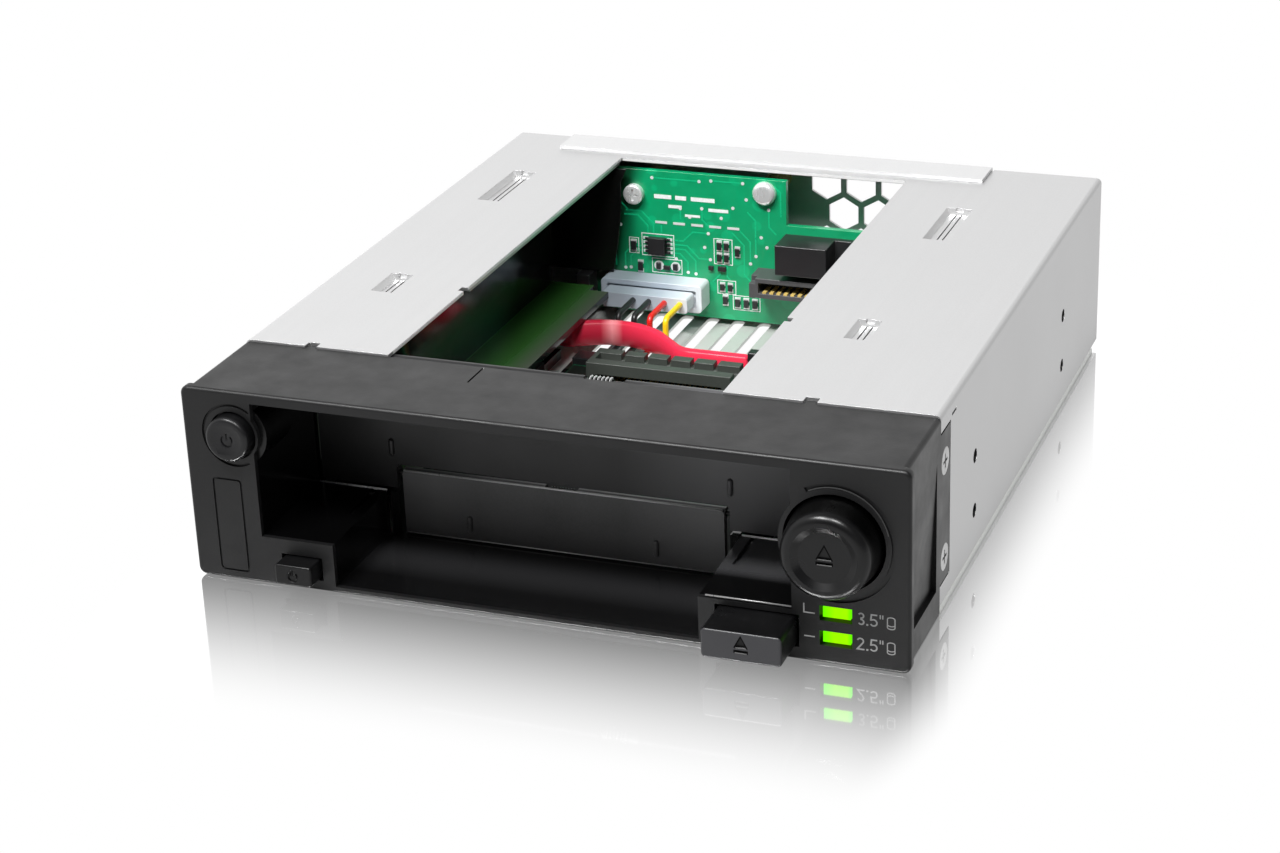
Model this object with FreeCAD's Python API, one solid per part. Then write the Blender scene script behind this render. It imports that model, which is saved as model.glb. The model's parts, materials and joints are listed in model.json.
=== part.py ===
import FreeCAD, Part
import math
import os

os.makedirs("parts", exist_ok=True)
V = FreeCAD.Vector

# ---------------------------------------------------------------- driving sizes (mm)
# Working frame: X to the right seen from the front, Y from the front face to the rear,
# Z up from the underside.  Everything is shifted along Y when it is written out.
FLANGE_W = 148.6        # front flange of a half height 5.25 inch device
FLANGE_H = 41.2
FLANGE_T = 2.0
BODY_W = 146.0          # case width of a 5.25 inch device
BEZEL_D = 25.5          # depth of the plastic body behind the front face
BEZEL_TOP = 41.0
COVER_TOP = 41.4
SHEET = 0.8
CASE_END = 170.0        # rear edge of the cover
BAY_CX = -5.2           # middle of both drive bays
AP_L, AP_R = -59.0, 51.4        # drive aperture
AP_TOP = 39.0
LEDGE_FRONT, LEDGE_REAR = 10.4, 11.2
STEP_L, STEP_R = -43.4, 32.9    # lower, narrower part of the aperture
FLOOR_Z = 1.4
HOLE_Y1 = 52.3          # side and bottom fixing holes
HOLE_PITCH_Y = 79.24
HOLE_Z1, HOLE_Z2 = 9.91, 21.84
HOLE_BOTTOM_X = 69.85
HOLE_R = 1.5
KNOB = (59.7, 25.0)     # round eject knob (x, z)
KNOB_R = 9.3
KNOB_FRONT = -7.0
KNOB_TRAVEL = 7.0
PWR = (-63.4, 31.8)     # round power button (x, z)
PWR_R = 4.7
DOOR_Y0, DOOR_T = 26.5, 1.6
DOOR_AXIS = (28.1, 39.0)        # large door hinge (y, z)
FLAP_AXIS = (28.0, 14.6)        # small door hinge (y, z)
BOARD_Y0, BOARD_T = 156.4, 1.6
OPEN_L, OPEN_R, OPEN_END = -40.9, 29.9, 157.0
REAR_Y = 169.0          # inner face of the rear panel
Y_MIN, Y_MAX = -9.5, 171.5
Y_SHIFT = -(Y_MIN + Y_MAX) / 2.0


# ---------------------------------------------------------------- helpers
def box(x0, x1, y0, y1, z0, z1):
    return Part.makeBox(x1 - x0, y1 - y0, z1 - z0, V(x0, y0, z0))


def cyl_y(x, z, r, y0, y1):
    return Part.makeCylinder(r, y1 - y0, V(x, y0, z), V(0, 1, 0))


def cyl_x(y, z, r, x0, x1):
    return Part.makeCylinder(r, x1 - x0, V(x0, y, z), V(1, 0, 0))


def cyl_z(x, y, r, z0, z1):
    return Part.makeCylinder(r, z1 - z0, V(x, y, z0), V(0, 0, 1))


def fuse(shapes):
    s = shapes[0]
    if len(shapes) > 1:
        s = s.fuse(shapes[1:])
    return s.removeSplitter()


def cut(s, tools):
    if not isinstance(tools, (list, tuple)):
        tools = [tools]
    return s.cut(Part.makeCompound(list(tools)))


def prism_xz(pts, y0, y1):
    w = Part.makePolygon([V(x, y0, z) for x, z in pts] + [V(pts[0][0], y0, pts[0][1])])
    return Part.Face(w).extrude(V(0, y1 - y0, 0))


def prism_yz(pts, x0, x1):
    w = Part.makePolygon([V(x0, y, z) for y, z in pts] + [V(x0, pts[0][0], pts[0][1])])
    return Part.Face(w).extrude(V(x1 - x0, 0, 0))


def prism_xy(pts, z0, z1):
    w = Part.makePolygon([V(x, y, z0) for x, y in pts] + [V(pts[0][0], pts[0][1], z0)])
    return Part.Face(w).extrude(V(0, 0, z1 - z0))


def rounded(s, r, test):
    edges = [e for e in s.Edges if test(e)]
    return s.makeFillet(r, edges)


def along(e, axis):
    if not hasattr(e.Curve, "Direction"):
        return False
    return abs(getattr(e.Curve.Direction, axis)) > 0.999


def sector_xz(cx, cz, r0, r1, a0, a1, y0, y1):
    """ring sector seen from the front, angles in degrees from +X towards +Z"""
    n = max(8, int(abs(a1 - a0) / 6))
    out = [(cx + r1 * math.cos(math.radians(a0 + (a1 - a0) * i / n)),
            cz + r1 * math.sin(math.radians(a0 + (a1 - a0) * i / n))) for i in range(n + 1)]
    inn = [(cx + r0 * math.cos(math.radians(a1 + (a0 - a1) * i / n)),
            cz + r0 * math.sin(math.radians(a1 + (a0 - a1) * i / n))) for i in range(n + 1)]
    return prism_xz(out + inn, y0, y1)


def coil(start, axis, r, wire_r, length, turns):
    """compression or torsion coil along axis 'x' or 'y' from a start point on its centre line"""
    per_turn, sides = 16, 6
    n = int(round(turns * per_turn))
    rise = length / (2 * math.pi * turns)
    rings = []
    for i in range(n + 1):
        t = 2 * math.pi * i / per_turn
        out = V(math.cos(t), math.sin(t), 0)
        tangent = V(-r * math.sin(t), r * math.cos(t), rise).normalize()
        up = tangent.cross(out)
        mid = V(r * math.cos(t), r * math.sin(t), rise * t)
        rings.append([mid + out * (wire_r * math.cos(2 * math.pi * k / sides)) + up * (wire_r * math.sin(2 * math.pi * k / sides)) for k in range(sides)])
    tri = lambda a, b, c: Part.Face(Part.makePolygon([a, b, c, a]))
    faces = []
    for a, b in zip(rings, rings[1:]):
        for k in range(sides):
            m = (k + 1) % sides
            faces.append(tri(a[k], a[m], b[m]))
            faces.append(tri(a[k], b[m], b[k]))
    for ring in (rings[0], rings[-1]):
        faces.append(Part.Face(Part.makePolygon(ring + [ring[0]])))
    shell = Part.makeShell(faces)
    shell.sewShape()
    s = Part.makeSolid(shell)
    if s.Volume < 0:
        s.reverse()
    if axis == "y":
        s.rotate(V(0, 0, 0), V(1, 0, 0), -90)
    else:
        s.rotate(V(0, 0, 0), V(0, 1, 0), 90)
    s.translate(V(*start))
    return s


def power_sign(x, z, y0, y1, r):
    return [sector_xz(x, z, r - 0.22, r + 0.22, 90 + 38, 90 + 322, y0, y1),
            box(x - 0.22, x + 0.22, y0, y1, z + 0.15, z + r + 0.5)]


def eject_sign(x, z, y0, y1, w):
    return [prism_xz([(x - w / 2, z), (x + w / 2, z), (x, z + w * 0.95)], y0, y1),
            box(x - w / 2, x + w / 2, y0, y1, z - 1.05, z - 0.45)]


nodes = {}

# ---------------------------------------------------------------- front bezel
flange = box(-FLANGE_W / 2, FLANGE_W / 2, 0, FLANGE_T, 0, FLANGE_H)
flange = rounded(flange, 1.7, lambda e: along(e, "y"))
flange = rounded(flange, 0.8, lambda e: all(abs(v.Point.y) < 1e-6 for v in e.Vertexes))
body = box(-BODY_W / 2, BODY_W / 2, FLANGE_T, BEZEL_D, 0, BEZEL_TOP)
body = rounded(body, 1.0, lambda e: along(e, "y") and e.Vertexes[0].Point.z > 20)
bez = flange.fuse(body)
cuts = [
    # wide part of the aperture, its ledges rise a little towards the rear
    prism_yz([(-1, LEDGE_FRONT - 0.03), (BEZEL_D + 1, LEDGE_REAR + 0.03), (BEZEL_D + 1, AP_TOP), (-1, AP_TOP)], AP_L, AP_R),
    box(STEP_L, STEP_R, -1, BEZEL_D + 1, FLOOR_Z, 12.5),
    # cavities behind the front wall
    box(-71.2, -61.2, 2.2, BEZEL_D + 1, 1.8, 39.2),
    box(-61.3, -45.4, 2.2, BEZEL_D + 1, 1.8, 8.6),
    box(53.1, 71.2, 2.2, BEZEL_D + 1, 1.8, 39.2),
    box(34.9, 53.2, 2.2, BEZEL_D + 1, 1.8, 9.5),
]
bez = cut(bez, cuts)
knob_boss = cyl_y(KNOB[0], KNOB[1], 10.8, 0, BEZEL_D)
pwr_boss = cyl_y(PWR[0], PWR[1], 5.6, 0, 2.2).fuse(cyl_y(PWR[0], PWR[1], 6.9, 1.2, 12.0))
cheek_l = box(-61.2, AP_L, BEZEL_D - 1, 33.0, 10.4, 40.3)
cheek_r = box(AP_R, 53.1, BEZEL_D - 1, 33.0, 10.4, 40.3)
tab_l = box(-73.0, -72.2, BEZEL_D - 1, 32.4, 6.0, 37.4)
tab_r = box(72.2, 73.0, BEZEL_D - 1, 32.4, 6.0, 37.4)
knob_guide = box(52.9, 71.3, 24.0, BEZEL_D, 13.0, 35.0)
rod_guide = box(34.8, 53.2, 20.0, 21.5, 1.7, 9.6)
lip = box(-40.8, 30.3, BEZEL_D - 1, 33.8, 0.85, FLOOR_Z)
bez = fuse([bez, knob_boss, pwr_boss, cheek_l, cheek_r, tab_l, tab_r, knob_guide, rod_guide, lip,
            box(46.25, 48.55, BEZEL_D - 1, 26.9, 40.2, BEZEL_TOP), box(-59.25, -57.15, BEZEL_D - 1, 26.9, 40.2, BEZEL_TOP)])
cuts = [
    cyl_y(KNOB[0], KNOB[1], KNOB_R + 0.6, -1, 24.0),
    cyl_y(KNOB[0], KNOB[1], 2.55, 23, 27),
    cyl_y(44.5, 5.6, 1.86, 19, 22),
    cyl_y(PWR[0], PWR[1], PWR_R + 0.4, -1, 3),
    cyl_y(PWR[0], PWR[1], 5.95, 1.5, 13),
    box(56.8, 63.1, -1, 3, 9.0, 12.05),
    box(56.8, 63.1, -1, 3, 3.8, 6.85),
    box(36.2, 52.8, -1, 3, 2.7, 9.4),
    box(-54.9, -46.0, -1, 3, 2.3, 7.3),
    # arc grooves round the knob and the round button
    sector_xz(KNOB[0], KNOB[1], 11.0, 12.0, -100, 118, -1, 0.45),
    sector_xz(PWR[0], PWR[1], 6.15, 6.7, 52, 300, -1, 0.5),
    # slit in the top wall and grooves in the two ledges
    box(-20.2, -19.8, 17.5, BEZEL_D + 1, 40.2, 42),
    box(-46.6, -45.6, 14.0, BEZEL_D + 1, 10.2, 12),
    box(35.0, 36.0, 14.0, BEZEL_D + 1, 10.2, 12),
    # sunk, sloping panels on the two sides
    prism_xz([(73.2, 38.0), (73.2, 6.0), (71.95, 6.0)], FLANGE_T, 22.8),
    prism_xz([(-73.2, 38.0), (-73.2, 6.0), (-71.95, 6.0)], FLANGE_T, 22.8),
    # hinge pin holes
    cyl_x(DOOR_AXIS[0], DOOR_AXIS[1], 1.0, -62, -58),
    cyl_x(DOOR_AXIS[0], DOOR_AXIS[1], 1.0, 50, 54),
]
for sx in (-1, 1):
    for z in (10.6, 30.8):
        c = Part.makeCone(2.85, 2.15, 0.82, V(sx * 73.01, 29.0, z), V(-sx, 0, 0))
        cuts.append(c)
# outline groove of the plain field on the left
ring = rounded(box(-68.9, -62.4, -1, 0.35, 1.9, 22.3), 0.9, lambda e: along(e, "y"))
ring_in = rounded(box(-68.5, -62.8, -2, 1, 2.3, 21.9), 0.6, lambda e: along(e, "y"))
cuts.append(ring.cut(ring_in))
nodes["front_bezel"] = cut(bez, cuts)

# ---------------------------------------------------------------- doors
dy0, dy1 = DOOR_Y0, DOOR_Y0 + DOOR_T
ay, az = DOOR_AXIS
panel = box(-58.5, 50.3, dy0, dy1, 11.6, 37.9)
panel = cut(panel, rounded(box(-41.4, 30.4, dy0 - 1, dy1 + 1, 5, 16.9), 1.0, lambda e: along(e, "y")))
panel = cut(panel, box(0.4, 9.0, dy0 - 1, dy1 + 3, 37.1, 41))
door = [panel]
for x0, x1 in ((-58.5, 0.4), (9.0, 50.3)):
    door.append(box(x0, x1, dy0, dy1, 37.0, az))
    door.append(cyl_x(ay, az, 1.45, x0, x1))
fy, fz = FLAP_AXIS
door.append(cyl_x(fy, fz, 1.3, -43.8, -41.4))
door.append(cyl_x(fy, fz, 1.3, 30.4, 32.8))
for x, z in ((-42.2, 20.7), (30.6, 20.9)):
    door.append(cyl_z(x, dy0, 0.6, z - 1.3, z + 1.3))
    door.append(Part.makeSphere(0.6, V(x, dy0, z - 1.3)))
    door.append(Part.makeSphere(0.6, V(x, dy0, z + 1.3)))
door = fuse(door)
nodes["large_drive_door"] = cut(door, [cyl_x(ay, az, 1.0, -60, 52), cyl_x(fy, fz, 0.65, -43.4, 32.4)])
nodes["large_door_hinge_pin"] = cyl_x(ay, az, 0.95, -61.2, 53.1)

flap = [rounded(box(-40.2, 29.2, dy0, dy1, 1.7, 15.6), 0.9, lambda e: along(e, "y") and e.Vertexes[0].Point.z > 10), cyl_x(fy, fz, 1.2, -40.2, 29.2)]
for x, z in ((-25.7, 5.4), (14.7, 5.5)):
    flap.append(cyl_z(x, dy0, 0.6, z - 1.3, z + 1.3))
    flap.append(Part.makeSphere(0.6, V(x, dy0, z - 1.3)))
    flap.append(Part.makeSphere(0.6, V(x, dy0, z + 1.3)))
flap = fuse(flap)
nodes["small_drive_door"] = cut(flap, [cyl_x(fy, fz, 0.65, -44, 33), box(-9.0, -2.0, 27.0, 30, 13.0, 17)])
nodes["small_door_hinge_pin"] = cyl_x(fy, fz, 0.6, -43.2, 32.2)

# torsion springs, each rides with its door
sp = coil((1.4, ay, az), "x", 1.45, 0.25, 5.0, 6)
nodes["large_door_spring"] = sp
sp = coil((-8.2, fy, fz), "x", 0.84, 0.12, 5.4, 9)
nodes["small_door_spring"] = sp

# ---------------------------------------------------------------- eject knob, rod, lever (large drive)
kx, kz = KNOB
knob = Part.makeCone(KNOB_R - 0.8, KNOB_R, -KNOB_FRONT, V(kx, KNOB_FRONT, kz), V(0, 1, 0))
knob = rounded(knob, 1.9, lambda e: len(e.Vertexes) <= 2 and e.BoundBox.YMax < KNOB_FRONT + 0.1)
knob = knob.fuse(cyl_y(kx, kz, KNOB_R, 0, 15.5)).removeSplitter()
dish = Part.makeCone(6.69, 5.1, 1.1, V(kx, KNOB_FRONT - 0.2, kz), V(0, 1, 0))
knob = cut(knob, [cyl_y(kx, kz, 7.0, -4.0, 16), dish] + eject_sign(kx, kz - 0.5, KNOB_FRONT - 1, KNOB_FRONT + 1.45, 3.1))
nodes["eject_knob"] = knob
LEV = (52.0, 149.4)
rod = cyl_y(kx, kz, 2.5, -4.0, LEV[1] - 6.2)
tip = Part.makeCone(2.5, 0.7, 4.2, V(kx, LEV[1] - 6.2, kz), V(0, 1, 0))
nodes["large_eject_rod"] = fuse([rod, tip, cyl_y(kx, kz, 4.2, 25.7, 27.5)])
nodes["eject_knob_spring"] = coil((kx, -3.5, kz), "y", 4.6, 0.4, 27.0, 9)
lever = fuse([box(43.5, 62.0, LEV[1] - 1.6, LEV[1] + 1.6, 22.0, 26.0), cyl_z(LEV[0], LEV[1], 2.8, 22.0, 26.0)])
nodes["large_eject_lever"] = cut(lever, cyl_z(LEV[0], LEV[1], 1.55, 20, 28))
nodes["large_lever_pivot"] = cyl_z(LEV[0], LEV[1], 1.5, 17.0, 31.0)

# ---------------------------------------------------------------- wide eject button, rod, lever (small drive)
btn = box(36.6, 52.4, -9.5, 3.4, 3.0, 9.1)
btn = rounded(btn, 0.9, lambda e: along(e, "y"))
btn = rounded(btn, 0.5, lambda e: all(abs(v.Point.y + 9.5) < 1e-6 for v in e.Vertexes))
btn = btn.fuse(box(35.3, 52.9, 2.6, 4.4, 2.1, 9.3)).removeSplitter()
nodes["wide_eject_button"] = cut(btn, eject_sign(44.5, 5.9, -10, -9.0, 2.6))
LEV2 = (36.8, 107.5)
rod2 = cyl_y(44.5, 5.6, 1.8, 4.4, LEV2[1] - 5.2)
tip2 = Part.makeCone(1.8, 0.6, 3.2, V(44.5, LEV2[1] - 5.2, 5.6), V(0, 1, 0))
nodes["small_eject_rod"] = fuse([rod2, tip2])
nodes["eject_button_spring"] = coil((44.5, 4.8, 5.6), "y", 2.7, 0.3, 14.8, 8)
lever2 = fuse([box(27.3, 47.0, LEV2[1] - 1.6, LEV2[1] + 1.6, 3.6, 7.6), cyl_z(LEV2[0], LEV2[1], 2.8, 3.6, 7.6)])
nodes["small_eject_lever"] = cut(lever2, cyl_z(LEV2[0], LEV2[1], 1.55, 2, 9))
nodes["small_lever_pivot"] = cyl_z(LEV2[0], LEV2[1], 1.5, 0.9, 9.0)

# ---------------------------------------------------------------- power buttons and their switches
px, pz = PWR
pb = cyl_y(px, pz, PWR_R, -2.8, 2.0)
pb = rounded(pb, 0.9, lambda e: len(e.Vertexes) <= 2 and e.BoundBox.YMax < -2.7)
pb = fuse([pb, cyl_y(px, pz, 5.55, 1.8, 3.2), cyl_y(px, pz, 2.0, 3.1, 10.2)])
dish = Part.makeSphere(12.0, V(px, -2.8 - 11.45, pz))
nodes["round_power_button"] = cut(pb, [dish] + power_sign(px, pz - 0.2, -4, -2.05, 1.15))
nodes["round_button_switch"] = fuse([box(px - 2.0, px + 2.0, 12.6, 16.0, pz - 2.0, pz + 2.0), cyl_y(px, pz, 1.5, 11.4, 12.7)])
nodes["round_button_board"] = box(-71.2, -61.3, 16.0, 17.2, 21.0, 38.6)

sb = box(-54.4, -46.5, -4.3, 3.0, 2.7, 7.0)
sb = rounded(sb, 0.6, lambda e: along(e, "y"))
sb = rounded(sb, 0.4, lambda e: all(abs(v.Point.y + 4.3) < 1e-6 for v in e.Vertexes))
sb = fuse([sb, box(-55.4, -45.7, 2.6, 3.8, 2.0, 8.2), cyl_y(-50.45, 5.0, 1.4, 3.7, 7.5)])
nodes["small_power_button"] = cut(sb, power_sign(-50.45, 4.65, -5, -4.0, 0.95))
nodes["small_button_switch"] = fuse([box(-52.45, -48.45, 9.8, 12.8, 3.0, 7.0), cyl_y(-50.45, 5.0, 1.2, 8.6, 9.9)])
nodes["small_button_board"] = box(-60.0, -45.6, 12.8, 14.0, 1.8, 8.4)

# ---------------------------------------------------------------- lamp windows, lamps, lamp board
nodes["large_drive_lamp_window"] = box(57.3, 62.7, 0.45, 8.0, 9.5, 11.7)
nodes["small_drive_lamp_window"] = box(57.3, 62.7, 0.45, 8.0, 4.3, 6.5)
nodes["status_lamps"] = Part.makeCompound([box(58.4, 61.6, 8.0, 9.6, 9.9, 11.4), box(58.4, 61.6, 8.0, 9.6, 4.7, 6.2)])
nodes["lamp_board"] = box(55.5, 71.2, 9.6, 10.8, 1.8, 12.0)

# ---------------------------------------------------------------- top cover
outer = box(-BODY_W / 2, BODY_W / 2, BEZEL_D + 0.1, CASE_END, 1.6, COVER_TOP)
outer = rounded(outer, 1.2, lambda e: along(e, "y") and e.Vertexes[0].Point.z > 20)
inner = box(-72.2, 72.2, BEZEL_D - 1, CASE_END + 1, 0, COVER_TOP - SHEET)
inner = rounded(inner, 0.4, lambda e: along(e, "y") and e.Vertexes[0].Point.z > 20)
cov = outer.cut(inner)
cov = cut(cov, box(OPEN_L, OPEN_R, 20, OPEN_END, 30, 50))
pockets = ((-62.4, -56.6, 119.3, 141.3), (-60.5, -55.3, 58.0, 69.0), (43.8, 49.8, 119.6, 141.0), (44.0, 49.2, 58.5, 69.5))
adds, cuts = [], []
for x0, x1, y0, y1 in pockets:
    pan = box(x0 - 0.6, x1 + 0.6, y0 - 0.6, y1 + 0.6, 39.3, 40.7)
    adds.append(pan)
    xm = (x0 + x1) / 2
    # the side walls of the pocket slope inwards
    w = Part.makeLoft([
        Part.makePolygon([V(x0, y0, 41.5), V(x1, y0, 41.5), V(x1, y1, 41.5), V(x0, y1, 41.5), V(x0, y0, 41.5)]),
        Part.makePolygon([V(x0 + 0.9, y0 + 0.9, 40.0), V(x1 - 0.9, y0 + 0.9, 40.0), V(x1 - 0.9, y1 - 0.4, 40.0), V(x0 + 0.9, y1 - 0.4, 40.0), V(x0 + 0.9, y0 + 0.9, 40.0)])], True, True)
    cuts.append(w)
    cuts.append(box(xm - 0.75, xm - 0.45, y0 + 1.8, y1 - 0.4, 39, 41))
    cuts.append(box(xm + 0.45, xm + 0.75, y0 + 1.8, y1 - 0.4, 39, 41))
    cuts.append(box(xm - 0.9, xm + 0.9, y1 - 0.6, y1 + 0.5, 40.5, 41.6))
adds.append(box(OPEN_L - SHEET, OPEN_L, 66.0, 155.4, 40.1, 40.8))
adds.append(box(OPEN_R, OPEN_R + SHEET, 67.5, 155.4, 40.1, 40.8))
cov = fuse([cov] + adds)
cuts += [
    box(OPEN_L - 1.3, OPEN_L + 1, 62.9, 65.0, 39, 42),
    box(OPEN_R - 1, OPEN_R + 1.3, 64.3, 66.4, 39, 42),
    box(-59.5, -56.9, 25, 27.5, 39, 42),
    box(46.0, 48.8, 25, 27.6, 39, 42),
    # rear edge is notched for the rear panel's top flange
    box(-58.3, 47.6, 168.9, CASE_END + 1, 39, 43),
]
for sx in (-1, 1):
    a, b = (71.9, 74.0) if sx > 0 else (-74.0, -71.9)
    cuts.append(box(a, b, 20, 32.8, 5.6, 37.8))
    cuts.append(box(a, b, 33.6, 37.0, 38.1, 38.7))
    for y in (HOLE_Y1, HOLE_Y1 + HOLE_PITCH_Y):
        for z in (HOLE_Z1, HOLE_Z2):
            cuts.append(cyl_x(y, z, HOLE_R, a, b))
cov = cut(cov, cuts)
nodes["top_cover"] = cov

# ---------------------------------------------------------------- bottom chassis
outer = box(-72.1, 72.1, BEZEL_D + 0.1, REAR_Y + SHEET, 0, 37.6)
outer = rounded(outer, 1.0, lambda e: along(e, "y") and e.Vertexes[0].Point.z < 20)
inner = box(-71.3, 71.3, 20, CASE_END + 2, SHEET, 50)
ch = outer.cut(inner)
lugs = [box(65.6, 71.5, 166.4, REAR_Y - 0.05, 0.5, 7.4), box(-71.5, -65.6, 166.4, REAR_Y - 0.05, 0.5, 7.4)]
ch = fuse([ch] + lugs)
cuts = []
for sx in (-1, 1):
    a, b = (70.9, 73.0) if sx > 0 else (-73.0, -70.9)
    for y in (HOLE_Y1, HOLE_Y1 + HOLE_PITCH_Y):
        for z in (HOLE_Z1, HOLE_Z2):
            cuts.append(cyl_x(y, z, HOLE_R, a, b))
        cuts.append(cyl_z(sx * HOLE_BOTTOM_X, y, HOLE_R, -1, 2))
    for z in (10.6, 30.8):
        cuts.append(cyl_x(29.0, z, 1.5, a, b))
    cuts.append(cyl_y(sx * 68.6, 4.0, 1.45, 160, 172))
for i in range(10):
    xs = -39.1 + 6.6 * i
    slot = rounded(box(xs - 1.5, xs + 1.5, 128.0, 160.5, -1, 2), 1.2, lambda e: along(e, "z"))
    cuts.append(slot)
RAIL_SCREWS = ((-50.0, 50.0), (-50.0, 120.0), (42.0, 60.0), (42.0, 100.0))
for x, y in RAIL_SCREWS:
    cuts.append(Part.makeCone(2.7, 2.0, 0.82, V(x, y, -0.01), V(0, 0, 1)))
nodes["bottom_chassis"] = cut(ch, cuts)

# ---------------------------------------------------------------- rear panel
rp = [box(-71.2, 71.2, REAR_Y, REAR_Y + SHEET, SHEET + 0.05, 40.5),
      box(-58.0, 47.3, REAR_Y, REAR_Y + SHEET, 40.0, COVER_TOP + 0.05 + SHEET),
      box(-58.0, 47.3, 159.8, REAR_Y + SHEET, COVER_TOP + 0.05, COVER_TOP + 0.05 + SHEET),
      box(-60.0, 60.0, 161.6, REAR_Y + 0.1, SHEET, 2 * SHEET)]
rp = fuse(rp)
rp = rounded(rp, 0.6, lambda e: along(e, "x") and abs(e.Vertexes[0].Point.y - (REAR_Y + SHEET)) < 1e-6 and e.Vertexes[0].Point.z > COVER_TOP + SHEET)
cuts = []
for row in range(3):
    for k in range(8):
        cx = 6.9 + 8.6 * k + (4.3 if row == 1 else 0.0)
        cz = 35.1 - 7.45 * row
        if cx > 64:
            continue
        rr = 7.2 / math.sqrt(3.0)
        cuts.append(prism_xz([(cx + rr * math.cos(math.radians(90 + 60 * i)), cz + rr * math.sin(math.radians(90 + 60 * i))) for i in range(6)], REAR_Y - 1, REAR_Y + 2))
for sx in (-1, 1):
    cuts.append(cyl_y(sx * 68.6, 4.0, 1.45, REAR_Y - 1, REAR_Y + 2))
PORTS = ((-46.0, -30.5, 7.6, 13.6), (-27.5, -12.0, 7.6, 13.6))
POWER_PORT = (-8.0, 15.0, 6.0, 14.6)
for x0, x1, z0, z1 in PORTS + (POWER_PORT,):
    cuts.append(box(x0 - 0.4, x1 + 0.4, REAR_Y - 1, REAR_Y + 2, z0 - 0.4, z1 + 0.4))
STANDOFFS = ((-37.6, 32.9), (-4.5, 35.7), (-47.6, 17.0), (40.0, 6.4))
for x, z in STANDOFFS:
    cuts.append(cyl_y(x, z, 1.3, REAR_Y - 1, REAR_Y + 2))
nodes["rear_panel"] = cut(rp, cuts)
fas = []
for sx in (-1, 1):
    h = cyl_y(sx * 68.6, 4.0, 2.7, REAR_Y + SHEET, 171.5)
    h = rounded(h, 0.8, lambda e: len(e.Vertexes) <= 2 and e.BoundBox.YMin > 171.4)
    h = cut(h, [box(sx * 68.6 - 1.6, sx * 68.6 + 1.6, 170.8, 172, 3.7, 4.3), box(sx * 68.6 - 0.3, sx * 68.6 + 0.3, 170.8, 172, 2.4, 5.6)])
    fas.append(h.fuse(cyl_y(sx * 68.6, 4.0, 1.4, 164.6, REAR_Y + SHEET + 0.1)).removeSplitter())
nodes["rear_panel_screws"] = Part.makeCompound(fas)

# ---------------------------------------------------------------- drive rails and small drive tray
SHELF0, SHELF1 = 9.6, 11.2
lr = [box(-61.0, -59.2, 36.0, 154.6, SHEET, 38.5),
      box(-60.0, -41.0, 36.0, 145.2, SHELF0, SHELF1),
      # thin shade in front of the board's left end
      prism_xz([(-60.0, 12.9), (-43.0, 12.9), (-41.5, 20.7), (-40.3, 29.9), (-40.3, 36.0), (-38.7, 39.5), (-60.0, 39.5)], 154.05, 154.6),
      box(-60.0, -46.0, 145.0, 148.5, SHELF0, SHELF1),
      box(-60.0, -56.5, 62.0, 146.0, SHELF1 - 0.1, 36.0),
      box(-60.0, -46.0, 44.0, 56.0, SHEET, 3.2),
      box(-60.0, -46.0, 114.0, 126.0, SHEET, 3.2)]
lr = fuse(lr)
lead = prism_xy([(-56.4, 61.9), (-59.1, 61.9), (-56.4, 68.0)], SHELF1, 37)
lr = cut(lr, [lead] + [cyl_z(x, y, 1.5, 0, 3.0) for x, y in RAIL_SCREWS if x < 0])
nodes["left_drive_rail"] = lr

rr_ = [box(51.1, 52.9, 36.0, 152.6, SHEET, 38.5),
       box(30.6, 52.0, 36.0, 112.0, SHELF0, SHELF1),
       box(40.0, 52.0, 112.0, 144.0, SHELF0, SHELF1),
       box(46.1, 52.0, 62.0, 140.0, SHELF1 - 0.1, 36.0),
       box(30.6, 32.4, 35.0, 97.0, SHEET, SHELF0 + 0.1),
       box(30.6, 32.4, 25.8, 36.0, 0.85, 11.0),
       box(30.6, 48.0, 96.0, 112.0, SHEET, 2.0),
       box(35.5, 48.0, 54.0, 66.0, SHEET, 3.2),
       box(31.0, 48.0, 54.0, 66.0, SHEET, 2.0),
       cyl_z(LEV2[0], LEV2[1], 3.0, 1.9, 3.2),
       cyl_z(LEV2[0], LEV2[1], 3.0, 8.0, SHELF0 + 0.1),
       cyl_z(LEV[0], LEV[1], 3.0, 16.0, 21.5),
       cyl_z(LEV[0], LEV[1], 3.0, 26.5, 32.0),
       box(52.0, 64.0, 128.0, 131.0, 19.0, 29.0),
       box(40.0, 49.0, 88.0, 91.0, 1.9, SHELF0 + 0.1),
       box(40.0, 49.0, 88.0, 97.0, SHEET, 2.0)]
rr_ = fuse(rr_)
cuts = [box(50.0, 54.0, 142.5, 160.0, 21.5, 26.5),
        cyl_z(LEV[0], LEV[1], 1.55, 16.5, 31.5),
        cyl_z(LEV2[0], LEV2[1], 1.55, 0, 9.1),
        cyl_y(KNOB[0], KNOB[1], 2.56, 127, 132),
        cyl_y(44.5, 5.6, 1.86, 87, 92),
        prism_xy([(46.0, 61.9), (51.0, 61.9), (46.0, 70.0)], SHELF1, 37)]
cuts += [cyl_z(x, y, 1.5, 0, 3.0 if y < 90 else 1.9) for x, y in RAIL_SCREWS if x > 0]
nodes["right_drive_rail"] = cut(rr_, cuts)

tray = fuse([box(-42.4, 30.5, 34.0, 119.0, SHEET, FLOOR_Z), box(-42.6, -41.0, 35.0, 104.0, SHEET, 9.0),
             box(-42.9, -41.0, 25.8, 35.9, 0.85, 11.0), box(-14.0, 12.6, 118.9, 123.0, SHEET, FLOOR_Z)])
nodes["small_drive_tray"] = cut(tray, [cyl_z(-30.0, 117.0, 1.1, 0, 3), cyl_z(5.0, 117.0, 1.1, 0, 3)])

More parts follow.
